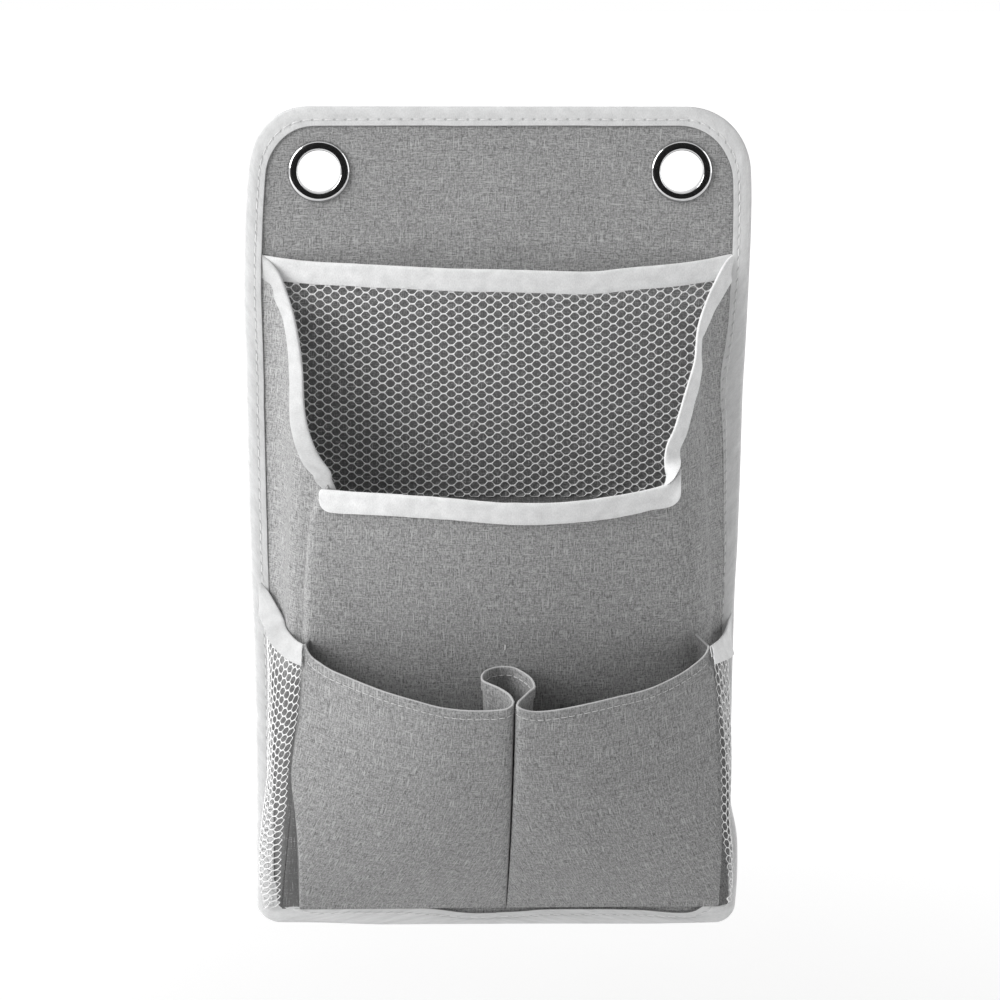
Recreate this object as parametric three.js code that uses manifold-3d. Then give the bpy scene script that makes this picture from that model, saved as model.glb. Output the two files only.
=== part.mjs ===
// A sewn fabric organizer that hangs flat on a wall from two metal eyelets.
// Sizes are in millimetres. The origin lies midway between the eyelets on the
// wall plane, +X points to the viewer's right, +Y into the wall and +Z up.
// A depth is measured forward from the wall plane, so it runs along -Y.
import * as THREE from "three";
import { mergeVertices } from "three/addons/utils/BufferGeometryUtils.js";
import Module from "manifold-3d";

const wasm = await Module();
wasm.setup();

// Back panel outline
const panelWidth = 320;
const panelHeight = 547;
const eyeletTopInset = 41;
const eyeletSideInset = 45;
const topCornerRadius = 34;
const bottomCornerRadius = 9;

// Cloth, board, net and tape
const clothThickness = 0.5;
const boardThickness = 1.2;
const netThickness = 0.7;
const tapeThickness = 0.5;
const clearance = 0.3;
const curveEase = 0.2;
const bindingWidth = 12;
const hemTapeWidth = 13.5;
const netTapeWidth = 14.5;
const gussetTapeWidth = 12.5;

// Eyelets
const eyeletBore = 26.4;
const eyeletOuter = 39.6;
const eyeletWall = 0.9;
const eyeletDome = 3.4;
const eyeletRim = 0.8;
const eyeletLipDrop = 2;
const washerThickness = 1;
const clinchWidth = 2.2;

// Upper net pocket
const netTopInset = 99;
const netHeight = 154;
const netBulge = 13;
const netDroop = 7;
const netSideGap = 5.2;
const netColumns = 12;
const netRows = 11;
const netStrand = 3.2;
const netGapFlat = 0.3;
const netBorder = 7;

// Large pocket
const seamGap = 1.4;
const largeCornerInset = 43.7;
const largeSeamGap = 3.6;
const largeHeight = 304;
const largeSideDepth = 60;
const largeBelly = 18;
const largeDroop = 8;
const gussetTopInset = 98;
const gussetBow = 0.25;
const gussetHollow = 0.4;
const gussetHemRise = 2;
const gussetCornerGap = 0.4;
const gussetFootGap = 0.9;

// Lower double pocket
const lowerHeight = 197.5;
const lowerDroop = 31;
const lowerSideWall = 17;
const lowerOutset = 4;
const lowerBelly = 44;
const lowerSag = 30;
const lowerSagAngle = Math.PI / 6;
const lowerRoundness = 2.6;
const lowerSideReach = 0.92;
const lowerSideGap = 1.2;
const neckGap = 7;
const pleatHalfWidth = 17.5;
const pleatRise = 26;
const pleatFoot = 10;

// Side net pockets
const sideNetRise = 16;
const sideNetBulge = 14;
const sideTapeWidth = 11;
const sideNetFullness = 0.3;
const sideNetLap = 1.2;
const sideNetEdgeGap = 0.9;

// Fineness of the curved solids
const arcSteps = 8;
const ringSteps = 32;
const domeSteps = 6;
const netSteps = 20;
const hemSteps = 18;
const smallestRadius = 2;
const cutterOverrun = 1;
const weldDistance = 1e-4;

// Depths of the back panel's layers
const liningBack = washerThickness + clearance;
const liningFront = liningBack + clothThickness;
const boardBack = liningFront + clearance;
const boardFront = boardBack + boardThickness;
const faceBack = boardFront + clearance;
const faceFront = faceBack + clothThickness;
const frontLayer = faceFront + clearance;
const bindingFront = frontLayer + tapeThickness;

// Places that several pieces share
const halfWidth = panelWidth / 2;
const panelTop = eyeletTopInset;
const panelBottom = panelTop - panelHeight;
const eyeletX = halfWidth - eyeletSideInset;
const seamBottom = panelBottom + bindingWidth + clearance;
const seamX = halfWidth - bindingWidth - seamGap;
const largeSeamDepth = frontLayer + clothThickness / 2 + curveEase;
const lowerSeamDepth = largeSeamDepth + clothThickness + clearance + curveEase;
const largeCornerX = halfWidth - largeCornerInset;
const largeSeamX = seamX - largeSeamGap;
const largeHemZ = seamBottom + largeHeight;
const sides = [["left", -1], ["right", 1]];

// Finishes
const greyCloth = new THREE.MeshStandardMaterial({ color: 0x959595, roughness: 0.95 });
const whiteTape = new THREE.MeshStandardMaterial({ color: 0xe8eaeb, roughness: 0.9 });
const whiteNet = new THREE.MeshStandardMaterial({ color: 0xe2e4e4, roughness: 0.8 });
const greyBoard = new THREE.MeshStandardMaterial({ color: 0xb8b8b4, roughness: 0.9 });
const chrome = new THREE.MeshStandardMaterial({ color: 0xd8d8da, roughness: 0.12, metalness: 1 });

const organizer = new THREE.Group();

function addPiece(name, geometry, material) {
  const piece = new THREE.Mesh(geometry, material);
  piece.name = name;
  organizer.add(piece);
  return piece;
}

function place(x, depth, z) {
  return new THREE.Vector3(x, -depth, z);
}

function blend(low, high, share) {
  return low + (high - low) * share;
}

function solidOf(geometry) {
  const bare = geometry.clone();
  bare.deleteAttribute("normal");
  bare.deleteAttribute("uv");
  const merged = mergeVertices(bare, weldDistance);
  const mesh = new wasm.Mesh({
    numProp: 3,
    vertProperties: merged.attributes.position.array,
    triVerts: new Uint32Array(merged.index.array),
  });
  return new wasm.Manifold(mesh);
}

function geometryOf(solid) {
  const mesh = solid.getMesh();
  const geometry = new THREE.BufferGeometry();
  geometry.setAttribute("position", new THREE.BufferAttribute(mesh.vertProperties, 3));
  geometry.setIndex(new THREE.BufferAttribute(mesh.triVerts, 1));
  return geometry;
}

// Back panel layers

// The panel's outline in the wall plane, drawn inset from the finished edge.
function outline(inset) {
  const side = halfWidth - inset;
  const top = panelTop - inset;
  const bottom = panelBottom + inset;
  const topRadius = Math.max(topCornerRadius - inset, smallestRadius);
  const bottomRadius = Math.max(bottomCornerRadius - inset, smallestRadius);
  const shape = new THREE.Shape();
  shape.moveTo(side, bottom + bottomRadius);
  shape.absarc(side - topRadius, top - topRadius, topRadius, 0, Math.PI / 2);
  shape.absarc(topRadius - side, top - topRadius, topRadius, Math.PI / 2, Math.PI);
  shape.absarc(bottomRadius - side, bottom + bottomRadius, bottomRadius, Math.PI, 1.5 * Math.PI);
  shape.absarc(side - bottomRadius, bottom + bottomRadius, bottomRadius, 1.5 * Math.PI, 2 * Math.PI);
  return shape;
}

// A flat plate of a shape drawn in X and Z, between two depths.
function plate(shape, back, front) {
  const geometry = new THREE.ExtrudeGeometry(shape, {
    depth: front - back,
    bevelEnabled: false,
    curveSegments: arcSteps,
  });
  geometry.rotateX(Math.PI / 2);
  geometry.translate(0, -back, 0);
  return geometry;
}

function panelLayer(back, front) {
  const shape = outline(tapeThickness + clearance);
  const holeRadius = eyeletBore / 2 + eyeletWall + 2 * clearance;
  for (const [, side] of sides) {
    const hole = new THREE.Path();
    hole.absarc(side * eyeletX, 0, holeRadius, 0, 2 * Math.PI, true);
    shape.holes.push(hole);
  }
  return plate(shape, back, front);
}

addPiece("back_lining", panelLayer(liningBack, liningFront), greyCloth);
addPiece("back_board", panelLayer(boardBack, boardFront), greyBoard);
addPiece("back_face_cloth", panelLayer(faceBack, faceFront), greyCloth);

// The tape is folded round the panel's edge and shows on both faces.
function perimeterBinding() {
  const back = liningBack - clearance - tapeThickness;
  const whole = solidOf(plate(outline(0), back, bindingFront));
  const slot = solidOf(plate(outline(tapeThickness), back + tapeThickness, frontLayer));
  const window = solidOf(
    plate(outline(bindingWidth), back - cutterOverrun, bindingFront + cutterOverrun),
  );
  return geometryOf(whole.subtract(slot).subtract(window));
}

addPiece("perimeter_binding", perimeterBinding(), whiteTape);

// Eyelets

// A closed profile of [radius, depth] pairs turned about an eyelet's axis.
function ring(profile) {
  const points = profile.map(([radius, depth]) => new THREE.Vector2(radius, -depth)).reverse();
  points.push(points[0].clone());
  return geometryOf(solidOf(new THREE.LatheGeometry(points, ringSteps)));
}

// The dome falls from its crown to a thin outer rim and to the bore's lip.
function eyeletDomeProfile() {
  const bore = eyeletBore / 2;
  const middle = (bore + eyeletOuter / 2) / 2;
  const crown = frontLayer + eyeletDome;
  const profile = [];
  for (let step = 0; step <= domeSteps; step++) {
    const turn = (Math.PI * step) / domeSteps;
    const base = 2 * step < domeSteps ? frontLayer + eyeletRim : crown - eyeletLipDrop;
    profile.push([
      middle + (middle - bore) * Math.cos(turn),
      blend(base, crown, Math.sin(turn)),
    ]);
  }
  return profile;
}

function eyelet() {
  const bore = eyeletBore / 2;
  const barrel = bore + eyeletWall;
  const lip = barrel + clinchWidth;
  return ring([
    [bore, clearance],
    [lip, clearance],
    [lip, liningBack - clearance],
    [barrel, liningBack - clearance],
    [barrel, frontLayer],
    [eyeletOuter / 2, frontLayer],
    ...eyeletDomeProfile(),
  ]);
}

function washer() {
  const inner = eyeletBore / 2 + eyeletWall + clinchWidth + clearance;
  const outer = eyeletOuter / 2;
  return ring([
    [inner, 0],
    [outer, 0],
    [outer, washerThickness],
    [inner, washerThickness],
  ]);
}

for (const [side, sign] of sides) {
  addPiece("eyelet_" + side, eyelet(), chrome).position.x = sign * eyeletX;
  addPiece("eyelet_washer_" + side, washer(), chrome).position.x = sign * eyeletX;
}

// Sewn sheets

// The direction in which a surface faces at (u, v).
function facing(surface, u, v) {
  const step = 0.001;
  const along = surface(u + step, v).sub(surface(u - step, v));
  const down = surface(u, v + step).sub(surface(u, v - step));
  return along.cross(down).normalize();
}

// A closed sheet from a grid of middle points and facings, of even thickness.
function closedSheet(rows, thickness) {
  const height = rows.length;
  const width = rows[0].length;
  const positions = [];
  for (const half of [thickness / 2, -thickness / 2])
    for (const row of rows)
      for (const { point, normal } of row)
        positions.push(...point.clone().addScaledVector(normal, half).toArray());
  const back = height * width;
  const index = [];
  const quad = (a, b, c, d) => index.push(a, b, c, a, c, d);
  for (let j = 0; j + 1 < height; j++)
    for (let i = 0; i + 1 < width; i++) {
      const at = j * width + i;
      quad(at, at + 1, at + width + 1, at + width);
      quad(back + at, back + at + width, back + at + width + 1, back + at + 1);
    }
  const rim = [];
  for (let i = 0; i + 1 < width; i++) rim.push(i);
  for (let j = 0; j + 1 < height; j++) rim.push(j * width + width - 1);
  for (let i = width - 1; i > 0; i--) rim.push((height - 1) * width + i);
  for (let j = height - 1; j > 0; j--) rim.push(j * width);
  rim.forEach((from, k) => {
    const to = rim[(k + 1) % rim.length];
    quad(to, from, back + from, back + to);
  });
  const geometry = new THREE.BufferGeometry();
  geometry.setAttribute("position", new THREE.Float32BufferAttribute(positions, 3));
  geometry.setIndex(index);
  return facingOut(geometry);
}

function facingOut(geometry) {
  if (solidOf(geometry).volume() > 0) return geometry;
  const index = geometry.index.array;
  for (let i = 0; i < index.length; i += 3)
    [index[i], index[i + 1]] = [index[i + 1], index[i]];
  return geometry;
}

function sheet(surface, columns, rows, thickness) {
  const grid = [];
  for (let j = 0; j <= rows; j++) {
    const row = [];
    for (let i = 0; i <= columns; i++) {
      const u = i / columns;
      const v = j / rows;
      row.push({ point: surface(u, v), normal: facing(surface, u, v) });
    }
    grid.push(row);
  }
  return closedSheet(grid, thickness);
}

// A folded tape's section: how far down the sheet each corner lies, as a share
// of the tape's width, then its offset to the side and over the sheet's edge.
const foldSection = [
  [1, 1, 0],
  [0, 1, 0.55],
  [0, 0, 1.5],
  [0, -1, 0.55],
  [1, -1, 0],
];

// A tape folded over a sheet's top edge, where v is 0, from u = start to end.
function foldedTape(surface, hostThickness, tapeWidth, start, end, columns) {
  const off = hostThickness / 2 + clearance + tapeThickness / 2;
  const grid = foldSection.map(() => []);
  const probe = 0.01;
  for (let i = 0; i <= columns; i++) {
    const u = blend(start, end, i / columns);
    const drop = surface(u, probe).sub(surface(u, 0));
    const reach = (tapeWidth / drop.length()) * probe;
    const up = drop.normalize().negate();
    foldSection.forEach(([leg, side, over], j) => {
      const normal = facing(surface, u, leg * reach);
      const out = normal.multiplyScalar(side).addScaledVector(up, over);
      grid[j].push({
        point: surface(u, leg * reach).addScaledVector(out, off),
        normal: out.clone().normalize(),
      });
    });
  }
  return closedSheet(grid, tapeThickness);
}

// Upper net pocket

const netTop = panelTop - netTopInset;
const netX = halfWidth - bindingWidth - netSideGap;
const netBackDepth = frontLayer + netThickness / 2;
const netEdgeDepth = frontLayer + tapeThickness + clearance + curveEase + netThickness / 2;

// The net leans forward at its slack top edge and lies flat at its seam.
function netSurface(u, v) {
  const slack = 1 - (2 * u - 1) ** 2;
  const depth = blend(netEdgeDepth + netBulge * slack, netBackDepth, v);
  const top = netTop - netDroop * slack;
  return place(blend(-netX, netX, u), depth, blend(top, netTop - netHeight, v));
}

// One six-sided gap: a diamond of the staggered lattice, drawn in by half a
// strand on each side, with its upper and lower corners cut flat.
function netGap(x, z, pitchX, pitchZ) {
  const inradius = (pitchX * pitchZ) / 2 / Math.hypot(pitchX / 2, pitchZ);
  const share = 1 - netStrand / 2 / inradius;
  const wide = (share * pitchX) / 2;
  const flat = wide * netGapFlat;
  const high = share * pitchZ * (1 - netGapFlat);
  const corners = [[wide, 0], [flat, high], [-flat, high], [-wide, 0], [-flat, -high], [flat, -high]];
  return new THREE.Shape(corners.map(([dx, dz]) => new THREE.Vector2(x + dx, z + dz)));
}

function upperNet() {
  const left = netBorder - netX;
  const bottom = netTop - netHeight + netBorder;
  const top = netTop - netDroop - netTapeWidth - netBorder;
  const pitchX = (-2 * left) / (netColumns + 0.5);
  const pitchZ = (top - bottom) / (netRows + 1);
  const gaps = [];
  for (let row = 0; row < netRows; row++)
    for (let column = 0; column < netColumns; column++) {
      const x = left + (column + 0.5 + 0.5 * (row % 2)) * pitchX;
      gaps.push(netGap(x, bottom + (row + 1) * pitchZ, pitchX, pitchZ));
    }
  const whole = solidOf(sheet(netSurface, netSteps, 4, netThickness));
  const cutterFront = netEdgeDepth + netBulge + cutterOverrun;
  return geometryOf(whole.subtract(solidOf(plate(gaps, 0, cutterFront))));
}

addPiece("upper_net", upperNet(), whiteNet);
addPiece(
  "upper_net_tape",
  foldedTape(netSurface, netThickness, netTapeWidth, 0, 1, netSteps),
  whiteTape,
);

// Large pocket

function largeFront(u, v) {
  const slack = 1 - (2 * u - 1) ** 2;
  const x = (2 * u - 1) * blend(largeCornerX, largeSeamX, v);
  const depth = blend(largeSideDepth + largeBelly * slack, largeSeamDepth, v);
  return place(x, depth, blend(largeHemZ - largeDroop * slack, seamBottom, v));
}

const hemTapeInset = 0.016;
addPiece("large_pocket_front", sheet(largeFront, hemSteps, 6, clothThickness), greyCloth);
addPiece(
  "large_pocket_hem_tape",
  foldedTape(largeFront, clothThickness, hemTapeWidth, hemTapeInset, 1 - hemTapeInset, hemSteps),
  whiteTape,
);

// A gusset runs from the side seam at t = 0 to the front's edge at t = 1, and
// its top edge is cut in a hollow curve.
const gussetTop = panelTop - gussetTopInset;
const gussetEndGap = clothThickness + clearance + curveEase;

function gussetSurface(sign) {
  const startDepth = frontLayer + clothThickness;
  const hemZ = largeHemZ + gussetHemRise;
  return (t, v) => {
    const x = blend(seamX, largeCornerX + gussetCornerGap, t * (1 + gussetBow * (1 - t)));
    const depth = blend(startDepth, largeSideDepth - gussetEndGap, t);
    const z = blend(gussetTop, hemZ, t * (1 - gussetHollow * (1 - t)));
    const footX = blend(seamX, largeSeamX + gussetFootGap, t);
    const footDepth = blend(startDepth, largeSeamDepth, t);
    const top = place(sign * x, depth, z);
    return top.lerp(place(sign * footX, footDepth, seamBottom + clearance), v);
  };
}

for (const [side, sign] of sides) {
  const surface = gussetSurface(sign);
  addPiece("large_pocket_gusset_" + side, sheet(surface, 8, 8, clothThickness), greyCloth);
  addPiece(
    "gusset_tape_" + side,
    foldedTape(surface, clothThickness, gussetTapeWidth, 0.05, 0.93, 12),
    whiteTape,
  );
}

// Lower double pocket

const lowerCornerZ = seamBottom + lowerHeight;
const lowerCornerV = (largeHemZ - lowerCornerZ) / largeHeight;
const largeMiddleZ = largeHemZ - largeDroop;
const crease = largeFront(1, lowerCornerV);
const lowerCorner = {
  x: crease.x + lowerOutset,
  depth: -crease.y + lowerSideWall,
};

// From the outer edge at t = 0 to the neck of the centre pleat at t = 1.
function lowerFront(sign) {
  const neckX = neckGap / 2;
  const sag = place(0, lowerSag * Math.cos(lowerSagAngle), -lowerSag * Math.sin(lowerSagAngle));
  return (t, v) => {
    const ease = 1 - Math.pow(Math.abs(1 - t), lowerRoundness);
    const rim = place(
      blend(lowerCorner.x, neckX, t),
      lowerCorner.depth + lowerBelly * ease,
      lowerCornerZ - lowerDroop * ease,
    );
    const foot = place(blend(largeSeamX, neckX, t), lowerSeamDepth, seamBottom + clearance);
    const belly = rim.clone().lerp(foot, 0.5).add(sag);
    const w = 1 - v;
    const at = rim.multiplyScalar(w * w);
    at.addScaledVector(belly, 2 * w * v).addScaledVector(foot, v * v);
    at.x *= sign;
    return at;
  };
}

// The pleat's section runs from the neck out and round to the large pocket.
const pleatPath = new THREE.CatmullRomCurve3([
  new THREE.Vector3(0.12, 0.02, 0),
  new THREE.Vector3(0.06, 0.07, 0),
  new THREE.Vector3(0.3, 0.2, 0),
  new THREE.Vector3(0.78, 0.38, 0),
  new THREE.Vector3(1, 0.6, 0),
  new THREE.Vector3(0.82, 0.84, 0),
  new THREE.Vector3(0.4, 0.97, 0),
  new THREE.Vector3(0.05, 1, 0),
]);

function pleatWall(sign) {
  const front = lowerFront(1);
  const reach = 1 - pleatFoot / lowerHeight;
  return (t, v) => {
    const across = pleatPath.getPoint(Math.min(Math.max(t, 0), 1));
    const neck = front(1, v * reach);
    const z = blend(lowerCornerZ - lowerDroop + pleatRise, seamBottom + pleatFoot, v);
    const behind = largeFront(0.5, (largeMiddleZ - z) / (largeMiddleZ - seamBottom));
    const from = place(0, -neck.y - clothThickness - clearance, neck.z);
    const to = place(0, -behind.y + clothThickness + 2 * clearance, z);
    const at = from.lerp(to, across.y);
    at.x = sign * (clothThickness + across.x * pleatHalfWidth);
    return at;
  };
}

// The side wall closes the pocket's end back to the large pocket's crease.
function lowerSideWallSurface(sign) {
  const edge = lowerFront(1);
  return (t, v) => {
    const front = edge(0, v * lowerSideReach);
    const behind = largeFront(1, blend(lowerCornerV, 1, v * lowerSideReach));
    const gap = clothThickness + clearance;
    const from = place(behind.x - lowerSideGap, -behind.y + gap, behind.z);
    const to = place(front.x - lowerSideGap, -front.y - gap, front.z);
    const at = from.lerp(to, t);
    at.x *= sign;
    return at;
  };
}

for (const [side, sign] of sides) {
  addPiece("lower_pocket_front_" + side, sheet(lowerFront(sign), 10, 8, clothThickness), greyCloth);
  addPiece("pleat_wall_" + side, sheet(pleatWall(sign), 10, 6, clothThickness), greyCloth);
  addPiece(
    "lower_pocket_side_" + side,
    sheet(lowerSideWallSurface(sign), 2, 8, clothThickness),
    greyCloth,
  );
}

// Side net pockets

// From the side seam at t = 0, bowed outward, to the lower pocket's edge.
function sideNet(sign) {
  const edge = lowerFront(1);
  const start = bindingFront + clearance + netThickness;
  return (t, v) => {
    const rim = edge(0, v);
    const seamZ = blend(lowerCornerZ + sideNetRise, seamBottom + 2 * clearance, v);
    const from = place(halfWidth - bindingWidth + sideNetLap, start, seamZ);
    const behind = blend(-sideNetEdgeGap, clothThickness, v);
    const to = rim.clone().add(place(sideNetEdgeGap, behind, clearance));
    const middle = from.clone().lerp(to, 0.5);
    middle.x += sideNetBulge * Math.sin(Math.PI * blend(sideNetFullness, 1, v));
    const w = 1 - t;
    const at = from.multiplyScalar(w * w);
    at.addScaledVector(middle, 2 * w * t).addScaledVector(to, t * t);
    at.x *= sign;
    return at;
  };
}

for (const [side, sign] of sides) {
  const surface = sideNet(sign);
  addPiece("side_net_" + side, sheet(surface, 6, 10, netThickness), whiteNet);
  addPiece(
    "side_net_tape_" + side,
    foldedTape(surface, netThickness, sideTapeWidth, 0.1, 0.9, 6),
    whiteTape,
  );
}

export default organizer;
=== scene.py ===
"""The wall hanging organizer's look: cloth, nets, tapes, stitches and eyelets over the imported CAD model.

Sizes are in millimetres in the object's own frame, and points are turned into metres when a mesh is made.
x runs to the right, depth towards the viewer and z up. The eyelets' centres are at z = 0.
"""

import math

import bmesh
import bpy
import numpy as np
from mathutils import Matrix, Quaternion, Vector


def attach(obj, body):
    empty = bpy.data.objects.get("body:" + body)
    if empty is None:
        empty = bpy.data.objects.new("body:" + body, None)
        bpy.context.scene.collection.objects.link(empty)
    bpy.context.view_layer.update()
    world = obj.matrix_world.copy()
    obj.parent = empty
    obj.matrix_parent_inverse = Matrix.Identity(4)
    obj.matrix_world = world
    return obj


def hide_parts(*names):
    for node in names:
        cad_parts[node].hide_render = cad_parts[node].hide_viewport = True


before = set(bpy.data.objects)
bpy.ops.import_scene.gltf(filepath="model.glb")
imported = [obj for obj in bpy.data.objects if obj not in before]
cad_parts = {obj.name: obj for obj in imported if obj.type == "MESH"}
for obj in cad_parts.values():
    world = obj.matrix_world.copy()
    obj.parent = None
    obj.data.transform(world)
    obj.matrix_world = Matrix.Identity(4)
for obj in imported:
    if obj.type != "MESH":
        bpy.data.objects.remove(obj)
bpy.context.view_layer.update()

MM = 0.001


# Lines and surfaces


def blend(start, end, share):
    return start + (end - start) * share


def place(x, depth, z):
    return np.stack(np.broadcast_arrays(x, -np.asarray(depth, float), z), axis=-1).astype(float)


def unit(vectors):
    return vectors / np.maximum(np.linalg.norm(vectors, axis=-1, keepdims=True), 1e-9)


def distance_along(points):
    """How far along a line each of its points lies."""
    return np.concatenate([[0], np.cumsum(np.linalg.norm(np.diff(points, axis=0), axis=1))])


def spaced(points, count):
    """The same line as evenly spaced points."""
    travelled = distance_along(points)
    wanted = np.linspace(0, travelled[-1], count)
    return np.stack([np.interp(wanted, travelled, points[:, k]) for k in range(3)], axis=1)


def line_through(knots, count):
    """A smooth line through points given as (x, depth, z)."""
    knots = np.array([place(*knot) for knot in knots])
    ends = [2 * knots[0] - knots[1]], [2 * knots[-1] - knots[-2]]
    ring = np.vstack([ends[0], knots, ends[1]])
    fine = [knots[0]]
    for before, start, end, after in zip(ring, ring[1:], ring[2:], ring[3:]):
        legs = ((before, start), (start, end), (end, after))
        gaps = [max(np.linalg.norm(b - a), 1e-6) ** 0.5 for a, b in legs]
        t0, t1, t2 = -gaps[0], 0.0, gaps[1]
        t3 = gaps[1] + gaps[2]
        for t in np.linspace(0, t2, 13)[1:]:
            a1 = (t1 - t) / (t1 - t0) * before + (t - t0) / (t1 - t0) * start
            a2 = (t2 - t) / (t2 - t1) * start + (t - t1) / (t2 - t1) * end
            a3 = (t3 - t) / (t3 - t2) * end + (t - t2) / (t3 - t2) * after
            b1 = (t2 - t) / (t2 - t0) * a1 + (t - t0) / (t2 - t0) * a2
            b2 = (t3 - t) / (t3 - t1) * a2 + (t - t1) / (t3 - t1) * a3
            fine.append((t2 - t) / (t2 - t1) * b1 + (t - t1) / (t2 - t1) * b2)
    return spaced(np.array(fine), count)


def arc_between(start, control, end, count):
    """A quadratic curve from start to end, pulled towards control, as evenly spaced points."""
    t = np.linspace(0, 1, 40)[:, None]
    return spaced((1 - t) ** 2 * start + 2 * t * (1 - t) * control + t * t * end, count)


def relaxed(points, times=1):
    """The same points, with each inner one moved towards its two neighbours."""
    points = points.copy()
    for _ in range(times):
        points[1:-1] = (points[:-2] + 2 * points[1:-1] + points[2:]) / 4
    return points


def slope(value, start, length):
    """0 before start, 1 from start + length on and a straight line between. A negative length runs down."""
    return np.clip((value - start) / length, 0, 1)


def bulge(share_down, share):
    """How far cloth that is held at its edges stands out: 1 in its middle and 0 at its edges."""
    return np.sin(share_down * math.pi) * math.sin(math.pi * share)


def ripple(a, b, seed):
    """A gentle, fixed unevenness between about -1 and 1, for hand-sewn cloth."""
    total = 0.0
    for k in range(1, 5):
        phase = seed * 1.7 + k * 2.1
        total = total + np.sin(a * 0.9 * k + phase) * np.cos(b * 0.8 * k - phase * 1.3) / k
    return total / 1.6


class Cloth:
    """Cloth as columns of evenly spaced points, each running down from the top edge."""

    def __init__(self, columns):
        self.points = np.array(columns, float).transpose(1, 0, 2)
        self.rows, self.cols = self.points.shape[:2]
        out = np.cross(np.gradient(self.points, axis=0), np.gradient(self.points, axis=1))
        self.out = unit(out)
        self.down = self.travelled(0)
        self.across = self.travelled(1)
        self.across = self.across - self.across[:, self.cols // 2][:, None]
        self.lengths = self.down[-1]
        self.width = float(np.ptp(self.across, axis=1).max())
        self.length = float(self.lengths.max())
        self.up = self.lengths - self.down
        step = np.linalg.norm(np.diff(self.points, axis=1), axis=2)
        level = np.sqrt(np.maximum(step ** 2 - np.diff(self.up, axis=1) ** 2, (0.2 * step) ** 2))
        self.grain = np.concatenate([np.zeros((self.rows, 1)), np.cumsum(level, axis=1)], axis=1)
        self.grain = self.grain - self.grain[:, self.cols // 2][:, None]

    def travelled(self, axis):
        steps = np.linalg.norm(np.diff(self.points, axis=axis), axis=2)
        start = np.zeros_like(steps.take([0], axis=axis))
        return np.concatenate([start, np.cumsum(steps, axis=axis)], axis=axis)

    def area(self):
        down = np.diff(self.points, axis=0)[:, :-1]
        across = np.diff(self.points, axis=1)[:-1]
        return float(np.linalg.norm(np.cross(down, across), axis=2).sum())

    def at(self, share, down, lift=0.0):
        """Points at a share of the way across and a distance below the top edge, lifted off the front."""
        share, down, lift = np.broadcast_arrays(share, down, lift)
        column = np.clip(share, 0, 1) * (self.cols - 1)
        left = np.minimum(column.astype(int), self.cols - 2)
        side = column - left
        length = blend(self.lengths[left], self.lengths[left + 1], side)
        row = np.clip(down / length, 0, 1) * (self.rows - 1)
        top = np.minimum(row.astype(int), self.rows - 2)
        part = (row - top)[..., None]
        side = side[..., None]

        def pick(values):
            upper = blend(values[top, left], values[top, left + 1], side)
            lower = blend(values[top + 1, left], values[top + 1, left + 1], side)
            return blend(upper, lower, part)

        return pick(self.points) + lift[..., None] * unit(pick(self.out))


# Meshes


def add_to_scene(name, data):
    made = bpy.data.objects.new(name, data)
    bpy.context.scene.collection.objects.link(made)
    return made


def make_piece(name, points, faces, finish, maps=None, stands_for=(), crease=55):
    """A mesh from points in millimetres, riding on the organizer. maps holds flat positions by name."""
    mesh = bpy.data.meshes.new(name)
    mesh.from_pydata((np.asarray(points) * MM).tolist(), [], [list(map(int, face)) for face in faces])
    corners = np.zeros(len(mesh.loops), int)
    mesh.loops.foreach_get("vertex_index", corners)
    for title, flat in (maps or {}).items():
        layer = mesh.uv_layers.new(name=title)
        layer.data.foreach_set("uv", (np.asarray(flat)[corners] * MM).ravel())
    mesh.shade_smooth()
    mesh.set_sharp_from_angle(angle=math.radians(crease))
    mesh.materials.append(finish)
    made = add_to_scene(name, mesh)
    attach(made, "root")
    if stands_for:
        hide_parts(*stands_for)
    return made


def sew(name, cloth, finish, thickness=0.5, stands_for=(), keep=None):
    """A piece with the cloth's real thickness and cut edges. keep marks the quads that stay uncut."""
    rows, cols = cloth.rows, cloth.cols
    front = cloth.points + cloth.out * thickness / 2
    back = cloth.points - cloth.out * thickness / 2
    points = np.concatenate([front.reshape(-1, 3), back.reshape(-1, 3)])
    cut = np.stack([cloth.across, -cloth.down], axis=-1).reshape(-1, 2)
    grain = np.stack([cloth.grain, cloth.up], axis=-1).reshape(-1, 2)
    maps = {"cut": np.concatenate([cut, cut]), "grain": np.concatenate([grain, grain])}
    index = np.arange(rows * cols).reshape(rows, cols)
    quads = np.stack([index[:-1, :-1], index[1:, :-1], index[1:, 1:], index[:-1, 1:]], axis=-1)
    quads = quads.reshape(-1, 4)
    if keep is not None:
        quads = quads[keep.reshape(-1)]
    behind = (quads + rows * cols)[:, ::-1]
    sides = {}
    for quad in quads:
        for a, b in zip(quad, np.roll(quad, -1)):
            if (b, a) in sides:
                del sides[(b, a)]
            else:
                sides[(a, b)] = True
    rim = [(b, a, a + rows * cols, b + rows * cols) for a, b in sides]
    made = make_piece(name, points, [*quads, *behind, *rim], finish, maps, stands_for)
    if keep is not None:
        drop_loose(made.data)
    return made


def drop_loose(mesh):
    work = bmesh.new()
    work.from_mesh(mesh)
    loose = [vertex for vertex in work.verts if not vertex.link_faces]
    bmesh.ops.delete(work, geom=loose, context="VERTS")
    work.to_mesh(mesh)
    work.free()


def declare_sheet(cloth, flat=None):
    """Works out what the piece was cut to: the width and length it has when laid flat, and its area. Nothing
    is done with them.
    """
    flat = flat or (cloth.width * MM, cloth.length * MM)
    area = min(cloth.area() * MM * MM, flat[0] * flat[1])


def declare_net(cloth):
    """Works out the net's length and its mean width. Nothing is done with them."""
    length = cloth.length * MM
    width = cloth.area() * MM * MM / length


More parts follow.
